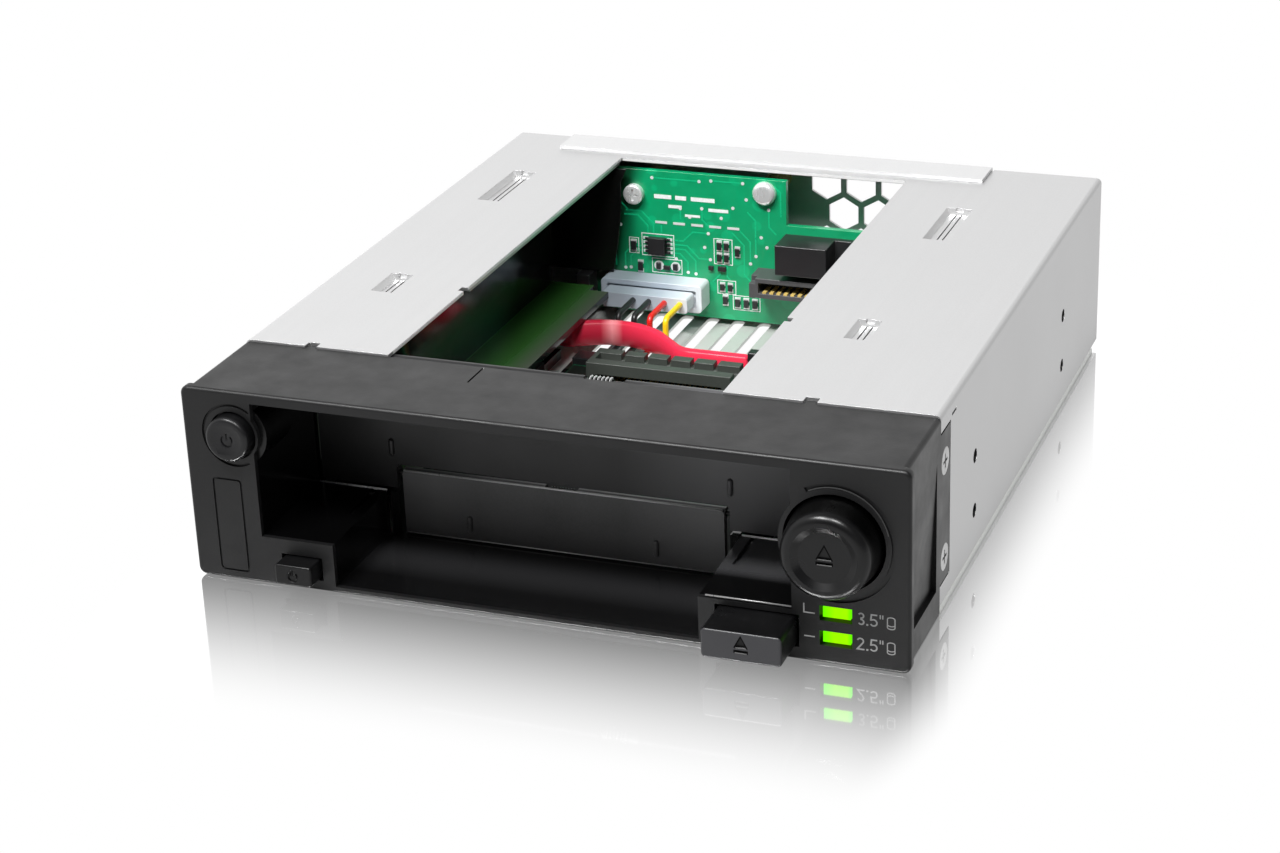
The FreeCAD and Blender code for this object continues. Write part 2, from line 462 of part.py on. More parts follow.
rs = []
for x, y in RAIL_SCREWS:
    top = 1.8 if x > 0 and y > 90 else 2.8
    rs.append(Part.makeCone(2.62, 1.95, 0.76, V(x, y, 0.02), V(0, 0, 1)).fuse(cyl_z(x, y, 1.42, 0.5, top)).removeSplitter())
nodes["rail_screws"] = Part.makeCompound(rs)

bs = []
for sx in (-1, 1):
    for z in (10.6, 30.8):
        h = Part.makeCone(2.76, 2.12, 0.75, V(sx * 72.97, 29.0, z), V(-sx, 0, 0))
        x0, x1 = (69.5, 72.5) if sx > 0 else (-72.5, -69.5)
        h = h.fuse(cyl_x(29.0, z, 1.45, x0, x1)).removeSplitter()
        a, b = (72.6, 73.5) if sx > 0 else (-73.5, -72.6)
        h = cut(h, [box(a, b, 27.5, 30.5, z - 0.28, z + 0.28), box(a, b, 28.72, 29.28, z - 1.5, z + 1.5)])
        bs.append(h)
nodes["bezel_screws"] = Part.makeCompound(bs)

# ---------------------------------------------------------------- backplane board and what it carries
b0, b1 = BOARD_Y0, BOARD_Y0 + BOARD_T
board = prism_xz([(-52.0, 2.6), (44.0, 2.6), (44.0, 28.0), (0.8, 28.0), (0.8, 39.0), (-52.0, 39.0)], b0, b1)
nodes["backplane_board"] = cut(board, [cyl_y(x, z, 1.3, b0 - 1, b1 + 1) for x, z in STANDOFFS])
so, sc = [], []
for i, (x, z) in enumerate(STANDOFFS):
    so.append(cyl_y(x, z, 2.7, b1, REAR_Y).cut(cyl_y(x, z, 1.2, b1 - 1, REAR_Y + 1)))
    hr = 2.9 if i == 1 else 2.5
    h = cyl_y(x, z, hr, b0 - 1.7, b0)
    h = rounded(h, 1.2 if i == 1 else 0.5, lambda e: len(e.Vertexes) <= 2 and e.BoundBox.YMax < b0 - 1.6)
    h = h.fuse(cyl_y(x, z, 1.1, b0 - 0.5, b1 + 6.0)).removeSplitter()
    if i != 1:
        h = cut(h, [box(x - 1.5, x + 1.5, b0 - 2, b0 - 1.1, z - 0.25, z + 0.25), box(x - 0.25, x + 0.25, b0 - 2, b0 - 1.1, z - 1.5, z + 1.5)])
    sc.append(h)
nodes["board_spacers"] = Part.makeCompound(so)
nodes["board_screws"] = Part.makeCompound(sc)

con = box(-6.5, 38.5, 149.0, b0, 11.8, 16.8)
con = cut(con, [box(-4.2, 36.4, 148, 154.4, 13.0, 15.6), box(-6.6, -4.9, 148, 151.0, 15.4, 17), box(37.0, 38.6, 148, 151.0, 15.4, 17)])
nodes["large_drive_connector"] = con
nodes["large_connector_contacts"] = Part.makeCompound([box(-3.2 + 1.75 * i, -2.3 + 1.75 * i, 149.2, 154.2, 13.0, 13.35) for i in range(22)])
gb = box(0.5, 40.0, 147.6, b0, 18.6, 26.0)
gb = cut(gb, [box(13.2, 17.4, 147, 154.6, 18, 27), box(18.6, 38.6, 147, 153.0, 20.2, 24.6)])
nodes["connector_guide_block"] = gb

hdr = box(-45.0, -19.0, 150.4, b0, 5.7, 12.7)
hdr = rounded(hdr, 1.2, lambda e: along(e, "y"))
nodes["power_header"] = cut(hdr, box(-43.4, -20.6, 150, 151.2, 7.2, 11.2))
WIRES = {"black": (-34.8, -30.8), "red": (-26.8,), "yellow": (-22.8,)}
plug = box(-43.1, -20.9, 145.4, 150.4, 7.3, 11.1)
plug = rounded(plug, 0.8, lambda e: along(e, "y"))
nodes["power_plug"] = plug

chips = [box(-34.1, -29.9, b0 - 1.5, b0, 18.0, 22.2)]
for i in range(4):
    z = 18.45 + 1.1 * i
    chips.append(box(-35.2, -34.1, b0 - 0.5, b0, z - 0.25, z + 0.25))
    chips.append(box(-29.9, -28.8, b0 - 0.5, b0, z - 0.25, z + 0.25))
small = ((-38.2, 19.6, 1.3, 2.2), (-36.6, 14.4, 1.2, 2.2), (-31.9, 14.9, 1.1, 1.6), (-27.6, 14.9, 1.1, 1.6), (-29.8, 14.6, 1.6, 1.0),
         (-16.2, 21.4, 1.1, 1.8), (-14.4, 21.4, 1.1, 1.8), (-16.2, 18.4, 1.1, 1.8), (-14.4, 18.4, 1.1, 1.8), (-11.6, 20.2, 1.1, 1.9),
         (-15.6, 15.6, 2.0, 1.2), (-18.4, 15.6, 1.2, 1.0), (-13.6, 10.9, 1.1, 1.6), (-15.6, 10.9, 1.1, 1.6), (-14.9, 7.6, 1.2, 1.9),
         (-11.8, 7.2, 1.2, 1.9), (-9.6, 7.2, 1.2, 1.9), (-7.4, 7.2, 1.2, 1.9))
for x, z, w, h in small:
    chips.append(box(x - w / 2, x + w / 2, b0 - 0.7, b0, z - h / 2, z + h / 2))
nodes["board_chips"] = Part.makeCompound(chips)

nodes["data_header"] = box(-53.4 + 1.6, -48.2, 151.0, b0, 2.8, 12.6)
nodes["data_plug_rear"] = box(-51.6, -48.4, 145.6, 151.0, 3.0, 9.5)
nodes["data_plug_front"] = box(3.0, 9.0, 119.0, 121.9, 2.6, 10.2)

pp = []
for x0, x1, z0, z1 in PORTS:
    p = box(x0, x1, b1, REAR_Y + SHEET - 0.1, z0, z1)
    p = cut(p, [box(x0 + 1.3, x1 - 1.3, 163.0, 171, z0 + 1.2, z1 - 1.2)])
    tongue = box(x0 + 2.6, x1 - 2.6, 162.9, 168.9, z0 + 2.5, z0 + 3.7)
    pp.append(fuse([p, tongue]))
nodes["rear_data_ports"] = Part.makeCompound(pp)
x0, x1, z0, z1 = POWER_PORT
p = box(x0, x1, b1, REAR_Y + SHEET - 0.1, z0, z1)
p = cut(p, box(x0 + 1.1, x1 - 1.1, 161.0, 171, z0 + 1.1, z1 - 1.1))
nodes["rear_power_port"] = p
nodes["rear_power_pins"] = Part.makeCompound([cyl_y(x0 + 3.9 + 5.08 * i, (z0 + z1) / 2, 1.05, 161.0, 168.4) for i in range(4)])

# ---------------------------------------------------------------- small drive connector board
sbd = fuse([box(-40.0, 8.0, 105.6, 119.0, FLOOR_Z, 2.6), box(1.0, 12.0, 112.0, 122.6, FLOOR_Z, 2.6)])
nodes["small_connector_board"] = cut(sbd, [cyl_z(-30.0, 117.0, 1.1, 0, 4), cyl_z(5.0, 117.0, 1.1, 0, 4)])
con = box(-31.5, 3.5, 105.7, 115.0, 2.6, 9.4)
con = cut(con, [box(-29.2, 1.2, 105, 111.4, 3.9, 6.6), box(-30.3, 4, 108.6, 112.2, 7.6, 10)] + [box(-25.2 + 5.6 * i, -24.3 + 5.6 * i, 112.0, 116, 7.9, 10) for i in range(5)])
nodes["small_drive_connector"] = con
nodes["small_connector_contacts"] = Part.makeCompound([box(-28.6 + 1.33 * i, -27.9 + 1.33 * i, 105.9, 111.2, 3.9, 4.2) for i in range(22)])
nodes["small_power_plug"] = box(-40.4, -21.8, 119.0, 124.0, SHEET + 0.05, 4.4)
fs = []
for x in (-30.0, 5.0):
    fs.append(cyl_z(x, 117.0, 1.9, 2.6, 3.9).fuse(cyl_z(x, 117.0, 1.0, 0.85, 2.7)).removeSplitter())
nodes["connector_board_screws"] = Part.makeCompound(fs)

# ---------------------------------------------------------------- red flat data cable, stands on edge
CABLE_W, CABLE_T, CABLE_Z = 6.4, 1.8, 3.0


def band(points):
    """points: straight and arc pieces of the middle line in plan, joined tangentially"""
    w = Part.Wire(points)
    d = points[0].tangentAt(points[0].FirstParameter)
    s = points[0].valueAt(points[0].FirstParameter)
    n = V(-d.y, d.x, 0)
    t = CABLE_T / 2.0
    c = [s + n * t, s - n * t]
    prof = Part.makePolygon([V(c[0].x, c[0].y, CABLE_Z), V(c[1].x, c[1].y, CABLE_Z), V(c[1].x, c[1].y, CABLE_Z + CABLE_W), V(c[0].x, c[0].y, CABLE_Z + CABLE_W), V(c[0].x, c[0].y, CABLE_Z)])
    return w.makePipeShell([prof], True, True)


z = CABLE_Z


def turn(cx, cy, r, a0, a1):
    """arc in plan, angles in degrees from +X towards +Y"""
    p = [V(cx + r * math.cos(math.radians(t)), cy + r * math.sin(math.radians(t)), z) for t in (a0, (a0 + a1) / 2.0, a1)]
    return Part.Arc(*p).toShape()


def run(x0, y0, x1, y1):
    return Part.makeLine(V(x0, y0, z), V(x1, y1, z))


def at(a):
    return math.cos(math.radians(a)), math.sin(math.radians(a))


PLUG_Y = 120.04
x1, y1 = -45.6 + 4.4 * at(301)[0], 132.8 + 4.4 * at(301)[1]
x2, y2 = x1 + 1.58 * at(31)[0], y1 + 1.58 * at(31)[1]
mx, my = x2 - 17.4 * at(121)[0], y2 - 17.4 * at(121)[1]
x3, y3 = mx + 17.4 * at(45)[0], my + 17.4 * at(45)[1]
ln = (y3 - PLUG_Y - 6.0 * (1 - at(45)[0])) / at(45)[1]
x4, y4 = x3 + ln * at(45)[0], y3 - ln * at(45)[1]
parts_ = [run(-50.0, 145.6, -50.0, 132.8), turn(-45.6, 132.8, 4.4, 180, 301), run(x1, y1, x2, y2), turn(mx, my, 17.4, 121, 45), run(x3, y3, x4, y4),
          turn(x4 + 6.0 * at(45)[0], y4 + 6.0 * at(45)[1], 6.0, 225, 270), run(x4 + 6.0 * at(45)[0], PLUG_Y, 3.0, PLUG_Y)]
cab = band(parts_)
CABLE_LEN = sum(e.Length for e in parts_)
cab_sec = CABLE_W * CABLE_T * CABLE_LEN
print("data cable length %.2f mm, volume %.1f, section times length %.1f" % (CABLE_LEN, cab.Volume, cab_sec))
nodes["data_cable"] = cab

# ---------------------------------------------------------------- power wires
WIRE_R, WIRE_TOP, WIRE_LOW, WIRE_BEND, WIRE_DROP_Y = 0.72, 9.6, 1.75, 1.5, 135.3


def wire(x):
    """forward from the plug, down behind the flat cable, then forward along the floor"""
    k = WIRE_BEND * math.cos(math.radians(45))
    p0 = V(x, 145.4, WIRE_TOP)
    p1 = V(x, WIRE_DROP_Y + WIRE_BEND, WIRE_TOP)
    m1 = V(x, p1.y - k, WIRE_TOP - WIRE_BEND + k)
    p2 = V(x, WIRE_DROP_Y, WIRE_TOP - WIRE_BEND)
    p3 = V(x, WIRE_DROP_Y, WIRE_LOW + WIRE_BEND)
    m2 = V(x, WIRE_DROP_Y - WIRE_BEND + k, WIRE_LOW + WIRE_BEND - k)
    p4 = V(x, WIRE_DROP_Y - WIRE_BEND, WIRE_LOW)
    p5 = V(x, 124.0, WIRE_LOW)
    edges = [Part.makeLine(p0, p1), Part.Arc(p1, m1, p2).toShape(), Part.makeLine(p2, p3), Part.Arc(p3, m2, p4).toShape(), Part.makeLine(p4, p5)]
    w = Part.Wire(edges)
    prof = Part.Wire(Part.makeCircle(WIRE_R, p0, V(0, -1, 0)))
    s = w.makePipeShell([prof], True, True)
    ln = sum(e.Length for e in edges)
    print("wire at x %.1f length %.2f mm, volume %.2f, section times length %.2f" % (x, ln, s.Volume, math.pi * WIRE_R ** 2 * ln))
    return s


nodes["wires_black"] = Part.makeCompound([wire(x) for x in WIRES["black"]])
nodes["wire_red"] = wire(WIRES["red"][0])
nodes["wire_yellow"] = wire(WIRES["yellow"][0])

# ---------------------------------------------------------------- write out
lo = [1e9] * 3
hi = [-1e9] * 3
for name, shape in nodes.items():
    s = shape.copy()
    s.translate(V(0, Y_SHIFT, 0))
    bad = [i for i, so_ in enumerate(s.Solids) if not so_.isValid()]
    print("%-28s solids %2d  valid %s  volume %9.1f%s" % (name, len(s.Solids), s.isValid(), s.Volume, "  BAD " + str(bad) if bad else ""))
    bb = s.BoundBox
    for k, (a, b) in enumerate(((bb.XMin, bb.XMax), (bb.YMin, bb.YMax), (bb.ZMin, bb.ZMax))):
        lo[k] = min(lo[k], a)
        hi[k] = max(hi[k], b)
    s.exportStep("parts/" + name + ".step")
print("box", [round(v, 3) for v in lo], [round(v, 3) for v in hi], "nodes", len(nodes))
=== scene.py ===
import bpy
import bmesh
import json
import math
import random
from mathutils import Matrix, Vector


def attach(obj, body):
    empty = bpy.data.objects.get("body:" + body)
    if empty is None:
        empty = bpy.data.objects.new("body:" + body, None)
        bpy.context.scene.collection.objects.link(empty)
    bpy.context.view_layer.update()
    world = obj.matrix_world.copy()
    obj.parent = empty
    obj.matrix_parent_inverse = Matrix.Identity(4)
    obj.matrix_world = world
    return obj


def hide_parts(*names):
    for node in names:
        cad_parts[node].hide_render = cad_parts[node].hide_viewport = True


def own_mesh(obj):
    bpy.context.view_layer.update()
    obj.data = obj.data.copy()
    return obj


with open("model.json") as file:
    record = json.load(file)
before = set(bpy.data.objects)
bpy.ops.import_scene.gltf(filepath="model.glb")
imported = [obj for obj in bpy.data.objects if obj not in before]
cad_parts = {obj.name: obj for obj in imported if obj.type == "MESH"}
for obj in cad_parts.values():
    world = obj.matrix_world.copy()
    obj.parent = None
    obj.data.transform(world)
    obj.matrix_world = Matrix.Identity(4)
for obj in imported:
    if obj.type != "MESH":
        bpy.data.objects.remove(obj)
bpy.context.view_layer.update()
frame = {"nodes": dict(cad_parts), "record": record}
NODES = frame["nodes"]
scene = bpy.context.scene
YS = -81.0          # the front flange face lies at this Y, in mm
MM = 0.001


def P(x, y, z):
    """front-face millimetres to the shared frame in metres"""
    return Vector((x * MM, (y + YS) * MM, z * MM))


# ------------------------------------------------------------------ camera
AZ, EL, ROLL = math.radians(21.34), math.radians(23.40), math.radians(-2.17)
fw = Vector((-math.sin(AZ) * math.cos(EL), math.cos(AZ) * math.cos(EL), -math.sin(EL)))
right = Vector((math.cos(AZ), math.sin(AZ), 0.0))
up = right.cross(fw)
r2 = right * math.cos(ROLL) + up * math.sin(ROLL)
u2 = up * math.cos(ROLL) - right * math.sin(ROLL)
cam_data = bpy.data.cameras.new("camera")
cam = bpy.data.objects.new("camera", cam_data)
scene.collection.objects.link(cam)
m = Matrix((r2, u2, -fw)).transposed().to_4x4()
m.translation = Vector((0.1929, -0.5169, 0.2465))
cam.matrix_world = m
cam_data.sensor_width = 36.0
cam_data.lens = 2766.8 * 36.0 / 1280.0
cam_data.clip_start, cam_data.clip_end = 0.01, 50.0
scene.camera = cam
scene.view_settings.view_transform = "Standard"
scene.view_settings.look = "None"
scene.view_settings.exposure = 0.0


# ------------------------------------------------------------------ node helpers
class Tree:
    def __init__(self, name):
        self.mat = bpy.data.materials.new(name)
        self.mat.use_nodes = True
        self.t = self.mat.node_tree
        self.t.nodes.clear()
        self.out = self.t.nodes.new("ShaderNodeOutputMaterial")
        self.b = self.t.nodes.new("ShaderNodeBsdfPrincipled")
        self.t.links.new(self.b.outputs[0], self.out.inputs[0])
        self.co = self.t.nodes.new("ShaderNodeTexCoord").outputs["Object"]

    def link(self, a, b):
        self.t.links.new(a, b)

    def set(self, **kw):
        for k, v in kw.items():
            self.b.inputs[k.replace("_", " ")].default_value = v

    def noise(self, scale, detail=3.0, rough=0.55, stretch=None, distort=0.0):
        n = self.t.nodes.new("ShaderNodeTexNoise")
        n.inputs["Scale"].default_value = scale
        n.inputs["Detail"].default_value = detail
        n.inputs["Roughness"].default_value = rough
        n.inputs["Distortion"].default_value = distort
        src = self.co
        if stretch:
            mp = self.t.nodes.new("ShaderNodeMapping")
            mp.inputs["Scale"].default_value = stretch
            self.link(src, mp.inputs["Vector"])
            src = mp.outputs[0]
        self.link(src, n.inputs["Vector"])
        return n.outputs["Fac"]

    def voronoi(self, scale, feature="F1"):
        n = self.t.nodes.new("ShaderNodeTexVoronoi")
        n.feature = feature
        n.inputs["Scale"].default_value = scale
        self.link(self.co, n.inputs["Vector"])
        return n.outputs["Distance"]

    def remap(self, src, a0, a1, b0, b1):
        n = self.t.nodes.new("ShaderNodeMapRange")
        n.inputs["From Min"].default_value = a0
        n.inputs["From Max"].default_value = a1
        n.inputs["To Min"].default_value = b0
        n.inputs["To Max"].default_value = b1
        self.link(src, n.inputs["Value"])
        return n.outputs["Result"]

    def ramp(self, src, stops):
        n = self.t.nodes.new("ShaderNodeValToRGB")
        e = n.color_ramp.elements
        while len(e) < len(stops):
            e.new(0.5)
        for el, (p, c) in zip(e, stops):
            el.position = p
            el.color = (c[0], c[1], c[2], 1.0)
        self.link(src, n.inputs["Fac"])
        return n.outputs["Color"]

    def mix(self, fac, a, b, kind="MIX"):
        n = self.t.nodes.new("ShaderNodeMix")
        n.data_type = "RGBA"
        n.blend_type = kind
        for v, s in ((fac, n.inputs[0]), (a, n.inputs[6]), (b, n.inputs[7])):
            if hasattr(v, "links"):
                self.link(v, s)
            elif isinstance(v, (int, float)):
                s.default_value = v
            else:
                s.default_value = (v[0], v[1], v[2], 1.0)
        return n.outputs[2]

    def math(self, op, a, b=0.0):
        n = self.t.nodes.new("ShaderNodeMath")
        n.operation = op
        for v, s in ((a, n.inputs[0]), (b, n.inputs[1])):
            if hasattr(v, "links"):
                self.link(v, s)
            else:
                s.default_value = v
        return n.outputs[0]

    def inside(self, lo, hi, soft=0.0004):
        """1 inside a box given in front-face mm, 0 outside it"""
        sep = self.t.nodes.new("ShaderNodeSeparateXYZ")
        self.link(self.co, sep.inputs[0])
        res = None
        for k in range(3):
            off = YS * MM if k == 1 else 0.0
            a = self.remap(sep.outputs[k], lo[k] * MM + off, lo[k] * MM + off + soft, 0.0, 1.0)
            b = self.remap(sep.outputs[k], hi[k] * MM + off - soft, hi[k] * MM + off, 1.0, 0.0)
            m = self.math("MULTIPLY", a, b)
            res = m if res is None else self.math("MULTIPLY", res, m)
        return res

    def bump(self, height, strength, distance):
        n = self.t.nodes.new("ShaderNodeBump")
        n.inputs["Strength"].default_value = strength
        n.inputs["Distance"].default_value = distance
        self.link(height, n.inputs["Height"])
        if self.b.inputs["Normal"].links:
            self.link(self.b.inputs["Normal"].links[0].from_socket, n.inputs["Normal"])
        self.link(n.outputs[0], self.b.inputs["Normal"])


def scaled(c, k):
    return tuple(min(1.0, v * k) for v in c)


def plastic(name, base, rough, grain=2600.0, bump=0.25, var=0.12, rvar=0.06, spec=0.5, coat=0.0, smooth_box=None, painted_light_boxes=(), painted_shading_box=None):
    """moulded plastic: spark-eroded grain, faint flow marks and a little handling variation;
    the faces inside smooth_box = (low corner, high corner, roughness) are polished, those inside
    each painted light box = (low corner, high corner, factor, width of the blend) are painted paler where the factor is
    above 1 and darker where it is below, painted light and painted shade, those inside the painted shading box = (low
    corner, high corner, colour, colour at the far x) are recoloured with painted shading graded along x towards the far
    colour"""
    t = Tree(name)
    flow = t.noise(38.0, 4.0, 0.6, (1.0, 0.45, 1.0), 0.4)
    fine = t.noise(grain, 2.0, 0.6)
    col = t.ramp(flow, ((0.3, scaled(base, 1 - var)), (0.7, scaled(base, 1 + var))))
    speck = t.remap(fine, 0.35, 0.7, 0.0, 1.0)
    col = t.mix(speck, col, t.mix(0.5, col, scaled(base, 1.35)))
    # painted shading: the colour inside the box is replaced by one graded along x, a painted reflection and sheen on
    # the left shelf and painted shade on the power header
    if painted_shading_box:
        lo, hi, c0, c1 = painted_shading_box
        sep = t.t.nodes.new("ShaderNodeSeparateXYZ")
        t.link(t.co, sep.inputs[0])
        painted_shading = t.mix(t.remap(sep.outputs[0], (lo[0] * 0.35 + hi[0] * 0.65) * MM, hi[0] * MM, 0.0, 1.0), c0, c1)
        painted_shading = t.mix(t.remap(flow, 0.3, 0.7, 0.0, 0.35), painted_shading, scaled(c0, 0.7))
        col = t.mix(t.inside(lo, hi, 0.0001), col, painted_shading)
    # painted light and painted shade: each box paints its faces paler or darker by its factor
    for lo, hi, k, soft in painted_light_boxes:
        col = t.mix(t.inside(lo, hi, soft * MM), col, scaled(base, k))
    t.link(col, t.b.inputs["Base Color"])
    smear = t.noise(120.0, 3.0, 0.6)
    ro = t.remap(smear, 0.3, 0.7, rough - rvar, rough + rvar)
    height = fine
    if smooth_box:
        mask = t.inside(smooth_box[0], smooth_box[1])
        k = smooth_box[2] / rough
        ro = t.math("MULTIPLY", ro, t.remap(mask, 0.0, 1.0, 1.0, k))
        height = t.math("MULTIPLY", fine, t.remap(mask, 0.0, 1.0, 1.0, 0.3))
    t.link(ro, t.b.inputs["Roughness"])
    t.set(Specular_IOR_Level=spec, IOR=1.5)
    if coat:
        t.set(Coat_Weight=coat, Coat_Roughness=0.12)
    t.bump(height, bump, 0.00004)
    return t.mat


def sheet_metal(name, base, rough, metallic, bump=0.18, painted_side_shade=1.0, painted_wall_shade=None, painted_hole_shade=()):
    """zinc plated sheet: fine crystalline grain, faint rolling streaks along the length;
    the faces that look sideways are painted darker by the sideways factor, a painted shade, the tray's upright walls
    above 4 mm can be painted dark by the upright factor, a painted shade, each hole box = (x0, x1, y, z) paints shade,
    near black, on the walls of a mount hole"""
    t = Tree(name)
    grain = t.noise(3000.0, 2.0, 0.6)
    cloud = t.noise(22.0, 5.0, 0.6)
    streak = t.noise(420.0, 3.0, 0.6, (1.0, 0.03, 1.0))
    col = t.ramp(cloud, ((0.25, scaled(base, 0.955)), (0.75, scaled(base, 1.03))))
    col = t.mix(t.remap(streak, 0.3, 0.7, 0.0, 0.35), col, scaled(base, 0.93))
    col = t.mix(t.remap(grain, 0.35, 0.65, 0.0, 0.30), col, scaled(base, 1.10))
    # painted shade: faces that look sideways are darker
    if painted_side_shade < 1.0:
        geo = t.t.nodes.new("ShaderNodeNewGeometry")
        sep = t.t.nodes.new("ShaderNodeSeparateXYZ")
        t.link(geo.outputs["Normal"], sep.inputs[0])
        col = t.mix(t.remap(t.math("ABSOLUTE", sep.outputs[0]), 0.55, 0.95, 0.0, 1.0), col, scaled(base, painted_side_shade))
    # painted shade: everything above 4 mm is painted dark
    if painted_wall_shade:
        sep = t.t.nodes.new("ShaderNodeSeparateXYZ")
        t.link(t.co, sep.inputs[0])
        col = t.mix(t.remap(sep.outputs[2], 2.0 * MM, 4.0 * MM, 0.0, 1.0), col, scaled(base, painted_wall_shade))
    # painted shade: near black round each mount hole
    for x0, x1, y, z in painted_hole_shade:
        col = t.mix(t.inside((x0, y - 1.7, z - 1.7), (x1, y + 1.7, z + 1.7), 0.00001), col, scaled(base, 0.05))
    t.link(col, t.b.inputs["Base Color"])
    t.link(t.remap(cloud, 0.3, 0.7, rough - 0.02, rough + 0.03), t.b.inputs["Roughness"])
    t.set(Metallic=metallic, Specular_IOR_Level=0.5)
    t.bump(grain, bump, 0.00003)
    t.bump(streak, 0.05, 0.00002)
    return t.mat


def steel(name, base, rough, metallic=1.0):
    t = Tree(name)
    scratch = t.noise(900.0, 3.0, 0.65, (1.0, 1.0, 0.12))
    cloud = t.noise(150.0, 4.0, 0.6)
    t.link(t.ramp(cloud, ((0.3, scaled(base, 0.9)), (0.7, scaled(base, 1.06)))), t.b.inputs["Base Color"])
    t.link(t.remap(scratch, 0.3, 0.7, rough * 0.75, rough * 1.35), t.b.inputs["Roughness"])
    t.set(Metallic=metallic)
    t.bump(scratch, 0.1, 0.00002)
    return t.mat


def board(name):
    """green solder resist over copper: lighter where copper lies under it, a woven glass ground"""
    t = Tree(name)
    cloud = t.noise(160.0, 3.0, 0.5)
    pour = t.voronoi(190.0)
    col = t.ramp(cloud, ((0.3, (0.002, 0.30, 0.118)), (0.7, (0.003, 0.40, 0.168))))
    edge = t.remap(pour, 0.32, 0.36, 0.0, 0.55)
    col = t.mix(edge, col, (0.002, 0.24, 0.092))
    sep = t.t.nodes.new("ShaderNodeSeparateXYZ")
    t.link(t.co, sep.inputs[0])
    # painted shadow: left of a slanted line the board is painted nearly black, the shadow of the cover's left strip
    strip_shadow_x = t.math("SUBTRACT", sep.outputs[0], t.math("MULTIPLY", t.math("SUBTRACT", sep.outputs[2], 0.025), 0.19))
    col = t.mix(t.remap(strip_shadow_x, -0.0412, -0.0372, 0.92, 0.0), col, (0.0005, 0.012, 0.003))
    t.link(col, t.b.inputs["Base Color"])
    weave = t.noise(1500.0, 2.0, 0.5, (1.0, 1.0, 0.2))
    t.link(t.remap(weave, 0.3, 0.7, 0.28, 0.42), t.b.inputs["Roughness"])
    t.set(Specular_IOR_Level=0.5, Coat_Weight=0.3, Coat_Roughness=0.15)
    t.bump(edge, 0.25, 0.00003)
    t.bump(weave, 0.08, 0.00003)
    return t.mat


def sleeve(name, base, rough, sss=0.0, var=0.14, line=0.12, crown=None, painted_highlight=None, spec=0.5):
    """soft extruded sleeve with faint draw lines; crown = (middle height in mm, curvature) swells a flat band,
    the painted highlight box = (low corner, high corner, colour, width of the blend) is a pale patch painted over a
    bend"""
    t = Tree(name)
    cloud = t.noise(90.0, 3.0, 0.5)
    lines = t.noise(1600.0, 2.0, 0.5, (0.1, 0.1, 1.0))
    col = t.ramp(cloud, ((0.3, scaled(base, 1 - var)), (0.7, scaled(base, 1 + var))))
    # painted highlight: a pale patch mixed into the colour inside the box
    if painted_highlight:
        col = t.mix(t.inside(painted_highlight[0], painted_highlight[1], painted_highlight[3] * MM), col, painted_highlight[2])
    t.link(col, t.b.inputs["Base Color"])
    t.link(t.remap(lines, 0.3, 0.7, rough - 0.06, rough + 0.08), t.b.inputs["Roughness"])
    t.set(Specular_IOR_Level=spec)
    if sss:
        t.set(Subsurface_Weight=sss, Subsurface_Radius=(1.0, 0.25, 0.2), Subsurface_Scale=0.0012)
    t.bump(lines, line, 0.00003)
    if crown:
        sep = t.t.nodes.new("ShaderNodeSeparateXYZ")
        t.link(t.co, sep.inputs[0])
        d = t.math("SUBTRACT", sep.outputs[2], crown[0] * MM)
        t.bump(t.math("MULTIPLY", t.math("MULTIPLY", d, d), -crown[1]), 1.0, 1.0)
    return t.mat


def lamp(name, base, edge, strength):
    """lit window: bright in the middle, greener towards its left end and rim"""
    t = Tree(name)
    grain = t.noise(700.0, 2.0, 0.5)
    sep = t.t.nodes.new("ShaderNodeSeparateXYZ")
    t.link(t.co, sep.inputs[0])
    col = t.ramp(t.remap(sep.outputs[0], 57.3 * MM, 62.7 * MM, 0.0, 1.0), ((0.02, edge), (0.42, base), (0.86, base), (1.0, edge)))
    col = t.mix(t.remap(grain, 0.3, 0.7, 0.0, 0.22), col, edge)
    t.link(t.mix(0.95, col, (0.0, 0.0, 0.0)), t.b.inputs["Base Color"])
    t.link(col, t.b.inputs["Emission Color"])
    t.set(Emission_Strength=strength, Roughness=0.5, Specular_IOR_Level=0.0)
    t.bump(grain, 0.1, 0.00004)
    return t.mat


def ink(name, base, rough=0.55):
    t = Tree(name)
    n = t.noise(2200.0, 3.0, 0.6)
    t.link(t.ramp(n, ((0.25, scaled(base, 0.82)), (0.7, base))), t.b.inputs["Base Color"])
    t.link(t.remap(n, 0.3, 0.7, rough - 0.08, rough + 0.08), t.b.inputs["Roughness"])
    t.bump(n, 0.15, 0.00002)
    return t.mat


